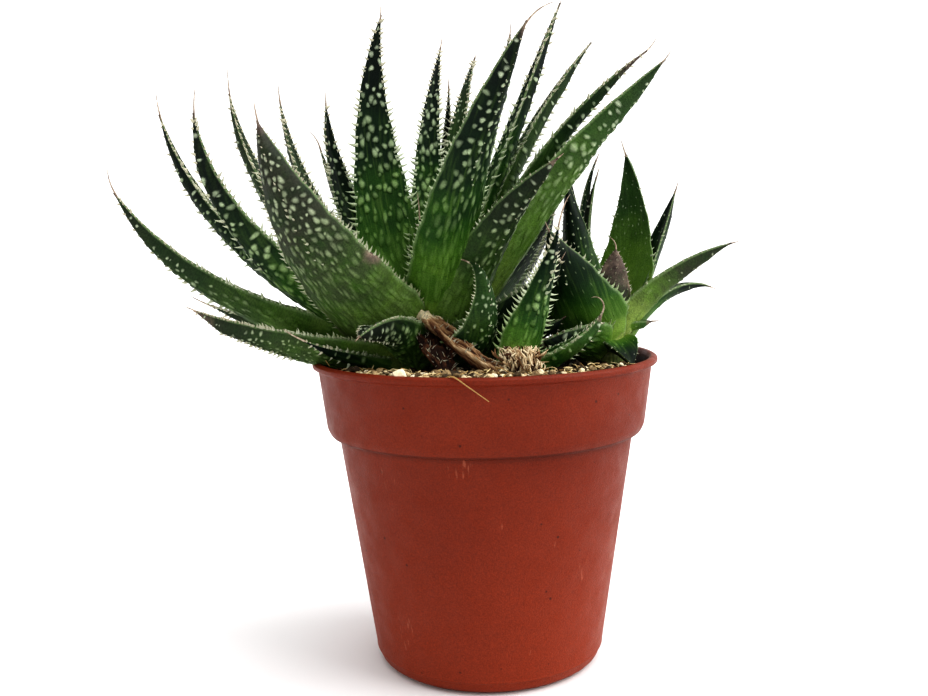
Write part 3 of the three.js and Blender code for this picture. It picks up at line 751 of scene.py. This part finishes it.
leafColours = {
    "grown": [(0.0, "#769040"), (0.16, "#4a6b26"), (0.36, "#2b4c1a"), (0.55, "#172d17"), (0.8, "#0b1811"),
              (1.0, "#111b14")],
    "young": [(0.0, "#b3c470"), (0.35, "#6d8f3a"), (0.7, "#3f5f2c"), (1.0, "#2b4026")],
    "pearl": [(0.0, "#688941"), (0.35, "#7b9859"), (0.55, "#97aa80"), (0.8, "#b0bda0"), (1.0, "#bbc3ad")],
    "streak": "#6d8b45", "dull": "#393930", "dullPearl": "#807f69", "margin": "#7f9468",
    "dried": [(0.3, "#332b28"), (0.5, "#60544c"), (0.7, "#a08e7b")],
    "dullTooth": "#9a9081",
    "awn": [(0.3, "#6e5b4e"), (0.55, "#a3917f"), (0.75, "#d2c7b5")],
    "tooth": [(0.0, "#748f4f"), (0.35, "#98aa7c"), (0.65, "#b4bda2"), (1.0, "#b5b19c")],
}


def leafSpine(row, rings, seed, taper):
    # stations along the leaf: part of the length, place, the three directions and the half section
    crown, azimuth, seat, rise, tipRise, swing, length, width, thick, cup, twist = row
    x, y = crowns[crown][:2]

    def direction(s):
        e = np.radians(rise + (tipRise - rise) * s ** leafShape["curl"])
        a = np.radians(azimuth + swing * s)
        return np.stack([np.cos(e) * np.cos(a), np.cos(e) * np.sin(a), np.sin(e)], -1), a

    reach, start = seatRadius(crown, seat), math.radians(azimuth)
    coarse = np.arange(leafShape["steps"] + 1) / leafShape["steps"]
    walk = direction(coarse)[0] * length / leafShape["steps"]
    track = np.array((x + reach * math.cos(start), y + reach * math.sin(start), seat)) + np.vstack(
        [np.zeros(3), np.cumsum(walk[:-1], 0)])
    s = np.linspace(0, 1, rings) ** 0.94
    centre = np.stack([np.interp(s, coarse, track[:, i]) for i in range(3)], -1)
    along, a = direction(s)
    side = np.stack([-np.sin(a), np.cos(a), np.zeros_like(a)], -1)
    upper = np.cross(along, side)
    roll = math.radians(twist)
    across = side * math.cos(roll) + upper * math.sin(roll)
    up = upper * math.cos(roll) - side * math.sin(roll)
    centre += across * (0.35 * s * np.sin(0.09 * s * length + seed))[:, None]
    past = np.clip((s - leafShape["shoulder"]) / (1 - leafShape["shoulder"]), 0, 1)
    plump = np.where(s < leafShape["shoulder"],
                     0.75 + 0.25 * np.sin(0.5 * math.pi * s / leafShape["shoulder"]),
                     1 - past ** taper)
    plump = plump * (1 + 0.025 * np.sin(0.42 * s * length + seed)
                     + 0.015 * np.sin(1.1 * s * length + 2 * seed))
    half = np.maximum(0.5 * width * plump, 0.26)
    depth = np.minimum(thick * (1 - 0.6 * s), 1.3 * half)
    edge = np.minimum(0.5 * leafShape["edge"] * (1 - 0.5 * s), 0.4 * half)
    return {"s": s, "centre": centre, "along": along, "across": across, "up": up, "half": half,
            "depth": depth, "edge": edge, "lift": cup * half, "length": length, "seed": seed,
            "stations": s * length}


def between(spine, key, p):
    # a value of the spine at fractional stations p
    i = np.clip(p.astype(int), 0, len(spine["s"]) - 2)
    f = np.clip(p - i, 0, 1)
    values = spine[key]
    if values.ndim == 2:
        f = f[:, None]
    return values[i] * (1 - f) + values[i + 1] * f


def skinAt(spine, finish, p, u, under):
    # points of the skin at fractional stations p and places u across, from -1 to 1
    half, lift, depth, edge, s = (between(spine, key, p) for key in ("half", "lift", "depth", "edge", "s"))
    far = s * spine["length"]
    bowl = np.abs(u) ** 1.35
    fade = np.clip(half / 3, 0, 1) * (1 - u ** 4)
    ripple = finish["furrow"] * np.sin(17 * u + spine["seed"] + 0.05 * far) * (0.7 + 0.3 * np.sin(0.21 * far))
    ripple = ripple + 0.16 * np.sin(0.33 * far + 2.2 * u + 3 * spine["seed"]) * np.cos(3.1 * u + 0.12 * far)
    if under:
        height = lift * bowl ** 1.3 - edge * bowl - depth * np.clip(1 - np.abs(u) ** 2.1, 0, 1) ** 0.8
        height = height - fade * ripple
    else:
        height = lift * bowl + edge + fade * ripple
    return (between(spine, "centre", p) + between(spine, "across", p) * (u * half)[:, None]
            + between(spine, "up", p) * height[:, None])


def stationOf(spine, distance):
    return np.interp(distance, spine["stations"], np.arange(len(spine["s"])))


def coneTemplate(sides=6):
    # a tooth: a flattened hook, unit height along x, bent towards y
    levels = [(-0.3, 1.05), (0.1, 0.95), (0.4, 0.6), (0.72, 0.3)]
    points = []
    for x, r in levels:
        lean = 0.5 * max(x, 0) ** 2
        for k in range(sides):
            angle = 2 * math.pi * k / sides
            points.append((x, lean + 0.34 * r * math.cos(angle), 0.26 * r * math.sin(angle)))
    points.append((1.0, 0.56, 0.0))
    faces = [tuple(range(sides))[::-1]]
    faces += [face[::-1] for face in gridFaces(len(levels), sides, closed=True)]
    last = (len(levels) - 1) * sides
    faces += [(last + k, last + (k + 1) % sides, len(points) - 1) for k in range(sides)]
    return np.array(points), faces


def domeTemplate(sides=10):
    # a tubercle: radius, angle, height, sinking and how pearly it is at each point
    rows = []
    for r, height, sink, pearl in [(1.0, 0, 0.3, 0), (1.0, 0, 0.02, 0), (0.86, 0.25, 0, 0.16),
                                   (0.66, 0.65, 0, 0.6), (0.36, 0.93, 0, 0.95)]:
        rows += [(r, 2 * math.pi * k / sides, height, sink, pearl) for k in range(sides)]
    rows.append((0, 0, 1, 0, 1))
    faces = [tuple(range(sides))[::-1]]
    faces += [face[::-1] for face in gridFaces(5, sides, closed=True)]
    faces += [(4 * sides + k, 4 * sides + (k + 1) % sides, 5 * sides) for k in range(sides)]
    return np.array(rows).T, faces


toothTemplate, spotTemplate = coneTemplate(), domeTemplate()


def aloeSkin():
    # living aloe epidermis under a thin wax: bright green at the base and nearly black-green above,
    # with fine lengthwise streaks, raised pearly tubercles and a pale horny margin
    material, tree, shader = newMaterial(
        "aloeEpidermis", Roughness=0.45, IOR=1.42, Specular_IOR_Level=0.16, Coat_Weight=0.02,
        Coat_Roughness=0.3)
    along, edge, pale, weather, dry, pearl = (
        addNode(tree, "Attribute", attribute_name=name).outputs["Fac"]
        for name in ("along", "edge", "pale", "weather", "dry", "pearl"))
    place = addNode(tree, "Attribute", attribute_name="place").outputs["Vector"]
    slow = addNode(tree, "TexNoise", {"Vector": place, "Scale": 1 / 9, "Detail": 3.0})
    drift = addNode(tree, "MapRange", (slow, 0.3, 0.7, -0.09, 0.09))
    shift = addNode(tree, "Math", (drift, along), operation="ADD")
    green = addNode(tree, "ValToRGB", (shift,), stops=leafColours["grown"])
    young = addNode(tree, "ValToRGB", (shift,), stops=leafColours["young"])
    tint = addNode(tree, "Mix", (pale, green, young), data_type="RGBA")
    # light streaks about 0.8 mm wide and 12 mm long, strongest near the base
    pulled = addNode(tree, "Mapping", {"Vector": place, "Scale": (1, 0.07, 1)})
    streak = addNode(tree, "TexNoise", {"Vector": pulled, "Scale": 1 / 0.8, "Detail": 2.0})
    streakShade = addNode(tree, "MapRange", (streak, 0.5, 0.75, 0.0, 0.55))
    fade = addNode(tree, "MapRange", (along, 0.2, 0.7, 1.0, 0.2))
    streakShade = addNode(tree, "Math", (streakShade, fade), operation="MULTIPLY")
    tint = addNode(tree, "Mix", (streakShade, tint, leafColours["streak"]), data_type="RGBA")
    # dull grey of an old, sun-stressed leaf, in clouds
    cloud = addNode(tree, "TexNoise", {"Vector": place, "Scale": 1 / 5, "Detail": 6.0, "Roughness": 0.65})
    cloudShade = addNode(tree, "MapRange", (cloud, 0.35, 0.6, 0.3, 1.0))
    dull = addNode(tree, "Math", (weather, cloudShade), operation="MULTIPLY", use_clamp=True)
    tint = addNode(tree, "Mix", (dull, tint, leafColours["dull"]), data_type="RGBA")
    # tubercles: pearly at the crown, with soft, uneven sides
    fine = addNode(tree, "TexNoise", {"Vector": place, "Scale": 1 / 0.7, "Detail": 2.0})
    soft = addNode(tree, "Math", (fine, -0.8, 0.4), operation="MULTIPLY_ADD")
    soft = addNode(tree, "Math", (pearl, soft), operation="ADD")
    soft = addNode(tree, "MapRange", (soft, 0.0, 0.9, 0.0, 0.95))
    soft = addNode(tree, "Math", (soft, pearl), operation="MULTIPLY")
    pearlTint = addNode(tree, "ValToRGB", (shift,), stops=leafColours["pearl"])
    greyed = addNode(tree, "Math", (weather, 0.5), operation="MULTIPLY", use_clamp=True)
    pearlTint = addNode(tree, "Mix", (greyed, pearlTint, leafColours["dullPearl"]), data_type="RGBA")
    tint = addNode(tree, "Mix", (soft, tint, pearlTint), data_type="RGBA")
    # horny margin
    rim = addNode(tree, "MapRange", (edge, 0.955, 1.0, 0.0, 0.6))
    tint = addNode(tree, "Mix", (rim, tint, leafColours["margin"]), data_type="RGBA")
    # dried tissue: grey-brown, in clouds
    dryTone = addNode(tree, "ValToRGB", (cloud,), stops=leafColours["dried"])
    tint = addNode(tree, "Mix", (dry, tint, dryTone), data_type="RGBA")
    # cell texture, drawn at 0.35 mm so that it shows
    cells = addNode(tree, "TexNoise", {"Vector": place, "Scale": 1 / 0.35, "Detail": 2.0})
    speck = addNode(tree, "MapRange", (cells, 0.3, 0.7, 0.72, 1.28))
    tint = addNode(tree, "VectorMath", (tint, speck), operation="SCALE")
    rough = addNode(tree, "MapRange", (cloud, 0.3, 0.7, 0.34, 0.55))
    furrows = addNode(tree, "Bump", {"Height": streak, "Strength": 0.4, "Distance": 0.35 * mm})
    bump = addNode(tree, "Bump", {"Height": cells, "Strength": 0.35,
                                            "Distance": 0.08 * mm, "Normal": furrows})
    wire(tree, shader, Base_Color=tint, Roughness=rough, Normal=bump)
    return material


def toothHorn():
    # cartilage teeth: pale, faintly translucent horn, greener low on the leaf
    material, tree, shader = newMaterial(
        "cartilageTooth", Roughness=0.45, IOR=1.45, Specular_IOR_Level=0.4, Subsurface_Weight=0.15,
        Subsurface_Radius=(0.5 * mm, 0.45 * mm, 0.3 * mm), Subsurface_Scale=1.0)
    along, weather = (addNode(tree, "Attribute", attribute_name=key).outputs["Fac"]
                      for key in ("along", "weather"))
    where = addNode(tree, "TexCoord").outputs["Object"]
    speck = addNode(tree, "TexNoise", {"Vector": where, "Scale": 1 / (2.5 * mm), "Detail": 2.0})
    shift = addNode(tree, "Math", (speck, 0.25, along), operation="MULTIPLY_ADD")
    tint = addNode(tree, "ValToRGB", (shift,), stops=leafColours["tooth"])
    dull = addNode(tree, "Math", (weather, 0.45), operation="MULTIPLY", use_clamp=True)
    tint = addNode(tree, "Mix", (dull, tint, leafColours["dullTooth"]), data_type="RGBA")
    wire(tree, shader, Base_Color=tint)
    return material


def dryAwn():
    # the papery bristle at a leaf's tip: dull straw
    material, tree, shader = newMaterial("paperyAwn", Roughness=0.7, IOR=1.4)
    where = addNode(tree, "TexCoord").outputs["Object"]
    speck = addNode(tree, "TexNoise", {"Vector": where, "Scale": 1 / (1.5 * mm), "Detail": 2.0})
    tint = addNode(tree, "ValToRGB", (speck,), stops=leafColours["awn"])
    wire(tree, shader, Base_Color=tint)
    return material


skinMaterial, toothMaterial, awnMaterial = aloeSkin(), toothHorn(), dryAwn()


def toothFrame(place, out, along, tall, thick):
    ahead = unit(along - out * (along @ out))
    return place, out * tall, ahead * thick, unit(np.cross(out, ahead)) * thick


def toothRow(bag, spine, finish, dice):
    # two margins, and a sparser row down the keel of the underside
    frames, places = [], []
    for side in (-1, 1, 0):
        gap = finish["teeth"][0] * (1 if side else 1.6)
        distance = (0.08 if side else 0.5) * spine["length"] + dice.uniform(0, gap)
        while distance < 0.985 * spine["length"]:
            p = np.array([stationOf(spine, distance)])
            across, up, along = (between(spine, key, p)[0] for key in ("across", "up", "along"))
            s = distance / spine["length"]
            if side:
                place = skinAt(spine, finish, p, np.array([side * 0.985]), False)[0]
                place = place - up * between(spine, "edge", p)[0]
                out = across * side + up * dice.uniform(-0.3, 0.5) + along * dice.uniform(0.0, 0.4)
            else:
                place = skinAt(spine, finish, p, np.array([dice.uniform(-0.1, 0.1)]), True)[0]
                out = -up + across * dice.uniform(-0.3, 0.3) + along * dice.uniform(0.1, 0.5)
            out = unit(out)
            tall = finish["teeth"][1] * dice.uniform(0.6, 1.25)
            tall *= (0.6 + 0.55 * math.sin(math.pi * min(1, 0.12 + s))) * (1 if side else 0.8)
            thick = (0.8 + 0.35 * dice.random()) * min(tall, 1.6)
            frames.append(toothFrame(place, out, along, tall, thick))
            places.append(s)
            distance += gap * dice.uniform(0.55, 1.45)
    stampShells(bag, toothTemplate, frames, 1, along=places, weather=[finish["weather"]] * len(frames))


def spotRows(bag, spine, finish, dice):
    (radius, angle, height, sink, pearl), faces = spotTemplate
    gap, size, spotFrom = finish["spots"]
    length = spine["length"]
    for under in (False, True):
        distance, row = 0.06 * length, 0
        while distance < 0.96 * length:
            s = distance / length
            half = float(np.interp(distance, spine["stations"], spine["half"]))
            count = max(1, int(round(2 * half * 0.86 / (gap * 0.8))))
            faint = min(1.0, max(0.0, (spotFrom - s) / 0.3 + 0.5))
            for k in range(count):
                u = ((k + 0.5 + (0.25 if row % 2 else -0.25)) / count * 2 - 1) * 0.88
                u += dice.uniform(-0.5, 0.5) / max(half, 1.5)
                here = distance + dice.uniform(-0.5, 0.5) * gap
                if abs(u) > 0.86 or here > 0.97 * length or dice.random() < 0.1:
                    continue
                bulk = size * dice.uniform(0.65, 1.3) * (0.55 + 0.45 * min(1, half / 5))
                long = bulk * (1.15 + 1.5 * faint) * dice.uniform(0.8, 1.3)
                wide = min(bulk * (0.88 - 0.2 * faint), 0.55 * half)
                tall = bulk * (0.3 - 0.2 * faint)
                phase = dice.uniform(0, 6.28)
                r = radius * (1 + 0.16 * np.sin(2 * angle + phase) + 0.1 * np.sin(3 * angle + 2 * phase))
                far = np.clip(here + r * np.cos(angle) * long, 0, 0.995 * length)
                q = np.clip(u + r * np.sin(angle) * wide / half, -0.97, 0.97) * (-1 if under else 1)
                p = stationOf(spine, far)
                base = skinAt(spine, finish, p, q, under)
                middle = stationOf(spine, np.array([here]))
                ahead = (skinAt(spine, finish, middle + 0.5, q[-1:], under)
                         - skinAt(spine, finish, middle - 0.5, q[-1:], under))
                over = (skinAt(spine, finish, middle, q[-1:] + 0.05, under)
                        - skinAt(spine, finish, middle, q[-1:] - 0.05, under))
                out = unit(np.cross(ahead, over))[0] * (-1 if under else 1)
                points = base + out * (height * tall - sink)[:, None]
                shade = pearl * (1 - 0.35 * faint) * dice.uniform(0.65, 1.0)
                shift = np.full_like(far, spine["seed"] * 1.7 + (40 if under else 0))
                place = np.stack([q * half, far, shift], -1)
                addShell(bag, points, faces, 0, along=far / length, edge=np.abs(q) * 0.9,
                         pale=paleness(finish, s), weather=wear(finish, s), dry=0.0, pearl=shade, place=place)
            distance += gap * (1.05 + 0.5 * faint)
            row += 1


def awnShell(bag, spine, finish):
    length, sideways, upward = finish["awn"]
    along, across, up = (spine[key][-1] for key in ("along", "across", "up"))
    path = [spine["centre"][-3]]
    steps = 16
    for i in range(steps):
        t = (i / steps) ** 1.4
        a, b = math.radians(sideways * t), math.radians(upward * t)
        step = along * math.cos(a) * math.cos(b) + across * math.sin(a) + up * math.sin(b)
        path.append(path[-1] + unit(step) * (length + 1.5) / steps)
    radii = 0.25 * (1 - np.linspace(0, 1, steps + 1)) ** 0.7 + 0.05
    addShell(bag, *tubePoints(path, radii, 6), 2, along=1.0, weather=0.0)


def paleness(finish, s):
    return np.clip(finish["pale"] + finish["paleTip"] * np.clip((s - 0.45) / 0.3, 0, 1), 0, 1)


def wear(finish, s):
    # weathering starts faint at the base
    return finish["weather"] * np.clip(0.35 + 1.1 * s, 0, 1)


def makeLeaf(name, row):
    finish = {**leafDefaults, **leafFinish.get(name, {})}
    number = sum(ord(c) * (i + 3) for i, c in enumerate(name))
    dice = random.Random(number)
    spine = leafSpine(row, leafShape["rings"], (number % 97) * 0.31, finish["taper"])
    n, rings = leafShape["across"], leafShape["rings"]
    u = np.sin(np.linspace(-0.5, 0.5, n) * math.pi)
    columns = 2 * n
    grid = np.zeros((rings, columns, 3))
    p = np.repeat(np.arange(rings, dtype=float), n)
    grid[:, :n] = skinAt(spine, finish, p, np.tile(u, rings), False).reshape(rings, n, 3)
    grid[:, n:] = skinAt(spine, finish, p, np.tile(u[::-1], rings), True).reshape(rings, n, 3)
    around = np.tile(np.concatenate([u, u[::-1]]), rings)
    s = np.repeat(spine["s"], columns)
    under = np.tile(np.concatenate([np.zeros(n), np.ones(n)]), rings)
    place = np.stack([around * np.repeat(spine["half"], columns), s * spine["length"],
                      spine["seed"] * 1.7 + 40 * under], -1)
    dry = np.clip((s - (1 - finish["dryTip"])) / max(0.5 * finish["dryTip"], 0.01), 0, 1)
    dry = np.maximum(dry, scarMarks(name, s, around))
    bag = newBag()
    addShell(bag, grid.reshape(-1, 3), sleeveFaces(rings, columns), 0, along=s, edge=np.abs(around),
             pale=paleness(finish, s), weather=wear(finish, s), dry=dry, pearl=0.0, place=place)
    spotRows(bag, spine, finish, dice)
    toothRow(bag, spine, finish, dice)
    awnShell(bag, spine, finish)
    label = name.split("_leaf_")[0] + "Leaf" + name[-2:]
    makePiece(label, bag, [skinMaterial, toothMaterial, awnMaterial], stands=[name])


# dry patches: part of the length, place across, and their spread along and across
leafScars = {
    "middle_leaf_01": [(0.42, 1.0, 0.03, 0.12), (0.03, -0.8, 0.1, 0.3), (0.1, -1.0, 0.14, 0.08)],
    "offset_leaf_09": [(0.6, 1.0, 0.5, 0.12)],
    "outer_leaf_02": [(0.97, 0.0, 0.05, 1.0)],
    "inner_leaf_01": [(0.98, 0.0, 0.02, 1.0)],
}


def scarMarks(name, s, u):
    marks = np.zeros_like(s)
    for atS, atU, spreadS, spreadU in leafScars.get(name, []):
        marks = np.maximum(marks, np.clip(1.6 - np.hypot((s - atS) / spreadS, (u - atU) / spreadU), 0, 1))
    return marks


for kind, (crownName, kindRows) in leafRows.items():
    for order, leafRow in enumerate(kindRows, 1):
        makeLeaf(f"{kind}_{order:02d}", (crownName, *leafRow))
print("leaves grown")


# ---- withered leaves and the old stalk ----
withered = {
    "withered_leaf_01": {"route": [(-18, -14, 107), (-12, -22, 103), (-4, -31, 97), (6, -40, 92)],
                         "width": 7.5, "thick": 3.2, "tone": 0.1, "ridge": 0.5, "tip": 0.75, "hairs": 60},
    "withered_leaf_02": {"route": [(-14, -12, 101), (-14, -19, 100.5), (-13, -27, 97), (-10, -33, 91.5)],
                         "width": 12.0, "thick": 3.4, "tone": -0.05, "ridge": 0.3, "tip": 0.2, "hairs": 90},
}
stalk = {"x": 10, "y": -36.5, "foot": 88.5, "top": 99.5, "footRadius": 5.6, "topRadius": 4.6, "fibres": 420}


def witheredTissue():
    # a leaf dried on the plant: crumpled and fibrous, dark brown with tan folds
    material, tree, shader = newMaterial(
        "witheredLeafFibre", Roughness=0.75, IOR=1.45, Specular_IOR_Level=0.2)
    tone = addNode(tree, "Attribute", attribute_name="tone").outputs["Fac"]
    place = addNode(tree, "Attribute", attribute_name="place").outputs["Vector"]
    pulled = addNode(tree, "Mapping", {"Vector": place, "Scale": (1, 0.2, 1)})
    fibre = addNode(tree, "TexNoise", {"Vector": pulled, "Scale": 1 / 0.7, "Detail": 5.0,
                                                 "Roughness": 0.65})
    shift = addNode(tree, "Math", (fibre, 0.7, tone), operation="MULTIPLY_ADD")
    tint = addNode(tree, "ValToRGB", (shift,), stops=[
        (0.2, "#120a08"), (0.38, "#2d1a12"), (0.55, "#573824"), (0.75, "#8f7152"), (0.92, "#bfa886"),
        (1.0, "#dccdae")])
    bump = addNode(tree, "Bump", {"Height": fibre, "Strength": 1.0, "Distance": 0.5 * mm})
    wire(tree, shader, Base_Color=tint, Normal=bump)
    return material


def makeWithered():
    tissue = witheredTissue()
    for name, spec in withered.items():
        dice = random.Random(len(name) + int(spec["width"] * 10))
        rings, sides = 90, 40
        path = curvePath(spec["route"], rings)
        along = unit(np.gradient(path, axis=0))
        across = unit(np.stack([-along[:, 1], along[:, 0], np.zeros(rings)], -1))
        up = np.cross(along, across)
        turn = np.linspace(0, 2 * math.pi, sides, endpoint=False)
        points, places, tones = [], [], []
        for i in range(rings):
            s = i / (rings - 1)
            belly = 0.5 + 0.5 * math.sin(math.pi * min(1, 0.12 + 0.85 * s))
            half, thick = 0.5 * spec["width"] * belly * (1 - 0.3 * s), 0.5 * spec["thick"]
            for angle in turn:
                q, v = math.cos(angle), math.sin(angle)
                where = Vector((q * 1.6, s * 7, v * 0.6 + spec["width"]))
                crumple = noise.noise(where)
                fold = 1 - 2 * abs(noise.noise(Vector((q * 2.6, s * 5, v + 3 * spec["width"]))))
                nick = noise.fractal(Vector((angle * 1.5, s * 26, spec["width"])), 0.7, 2.0, 3)
                lift = 0.3 * half * q * q + 0.9 * crumple + 0.55 * fold + 0.22 * nick
                spread = half * (1 + 0.22 * crumple + 0.12 * nick)
                points.append(path[i] + across[i] * q * spread + up[i] * (v * thick + lift))
                places.append((angle * half, s * 40, spec["width"]))
                pale = spec["tone"] + spec["ridge"] * max(0, 0.75 * fold + 0.6 * lift / half - 0.2)
                tones.append(pale + spec["tip"] * max(0, 0.22 - s) / 0.22)
        bag = newBag()
        addShell(bag, points, sleeveFaces(rings, sides), tone=tones, place=places)
        frames = []
        for _ in range(spec["hairs"]):
            i = dice.randrange(3, rings - 2)
            base = np.array(points[i * sides + dice.randrange(sides // 2)])
            out = unit(up[i] + across[i] * dice.uniform(-1.2, 1.2) + along[i] * dice.uniform(-0.6, 0.6))
            frames.append(toothFrame(base, out, along[i], dice.uniform(0.7, 1.9), 0.5))
        stampShells(bag, toothTemplate, frames, 1, along=[0.8] * len(frames), weather=[0.9] * len(frames))
        makePiece("witheredLeaf" + name[-2:], bag, [tissue, toothMaterial], stands=[name])
    # the stub: torn, curling straw fibres round a dark core
    bag = newBag()
    dice = random.Random(5)
    core = []
    for z in np.linspace(stalk["foot"], stalk["top"] - 3.5, 8):
        core.append((stalk["x"], stalk["y"], z))
    radii = np.linspace(stalk["footRadius"] - 1.2, stalk["topRadius"] - 1.6, 8)
    addShell(bag, *tubePoints(core, radii, 20), 0, tone=0.0, place=(0, 0, 3))
    for k in range(stalk["fibres"]):
        angle, t = dice.uniform(0, 2 * math.pi), dice.random()
        reach = stalk["footRadius"] + (stalk["topRadius"] - stalk["footRadius"]) * t
        reach *= dice.uniform(0.55, 1.02)
        start = np.array((stalk["x"] + reach * math.cos(angle), stalk["y"] + reach * math.sin(angle),
                          stalk["foot"] + (stalk["top"] - stalk["foot"]) * 0.85 * t))
        swing = angle + dice.gauss(0, 1.1)
        out, rise = dice.uniform(-0.15, 0.6), dice.uniform(0.15, 1.0)
        step = unit(np.array((out * math.cos(swing), out * math.sin(swing), rise))) * dice.uniform(2.0, 5.5)
        sag = np.array([dice.uniform(-1.1, 1.1), dice.uniform(-1.1, 1.1), dice.uniform(-0.4, 0.8)])
        end = start + step
        end[2] = min(end[2], stalk["top"] + 0.6)
        path = curvePath([start - 0.3 * step, start, (start + end) / 2 + sag, end], 12)
        radii = np.interp(np.linspace(0, 1, 12), [0, 0.3, 0.8, 1], [0.22, 0.3, 0.22, 0.04])
        radii *= dice.uniform(0.4, 1.5)
        tone = dice.choice((0.1, 0.3, 0.5, 0.6, 0.7, 0.8))
        addShell(bag, *tubePoints(path, radii, 5), tone=tone, place=(k, 0, k * 2.0))
    makePiece("oldStalkStub", bag, [tissue], stands=["old_stalk_stub"])


makeWithered()
print("withered leaves and stalk laid")
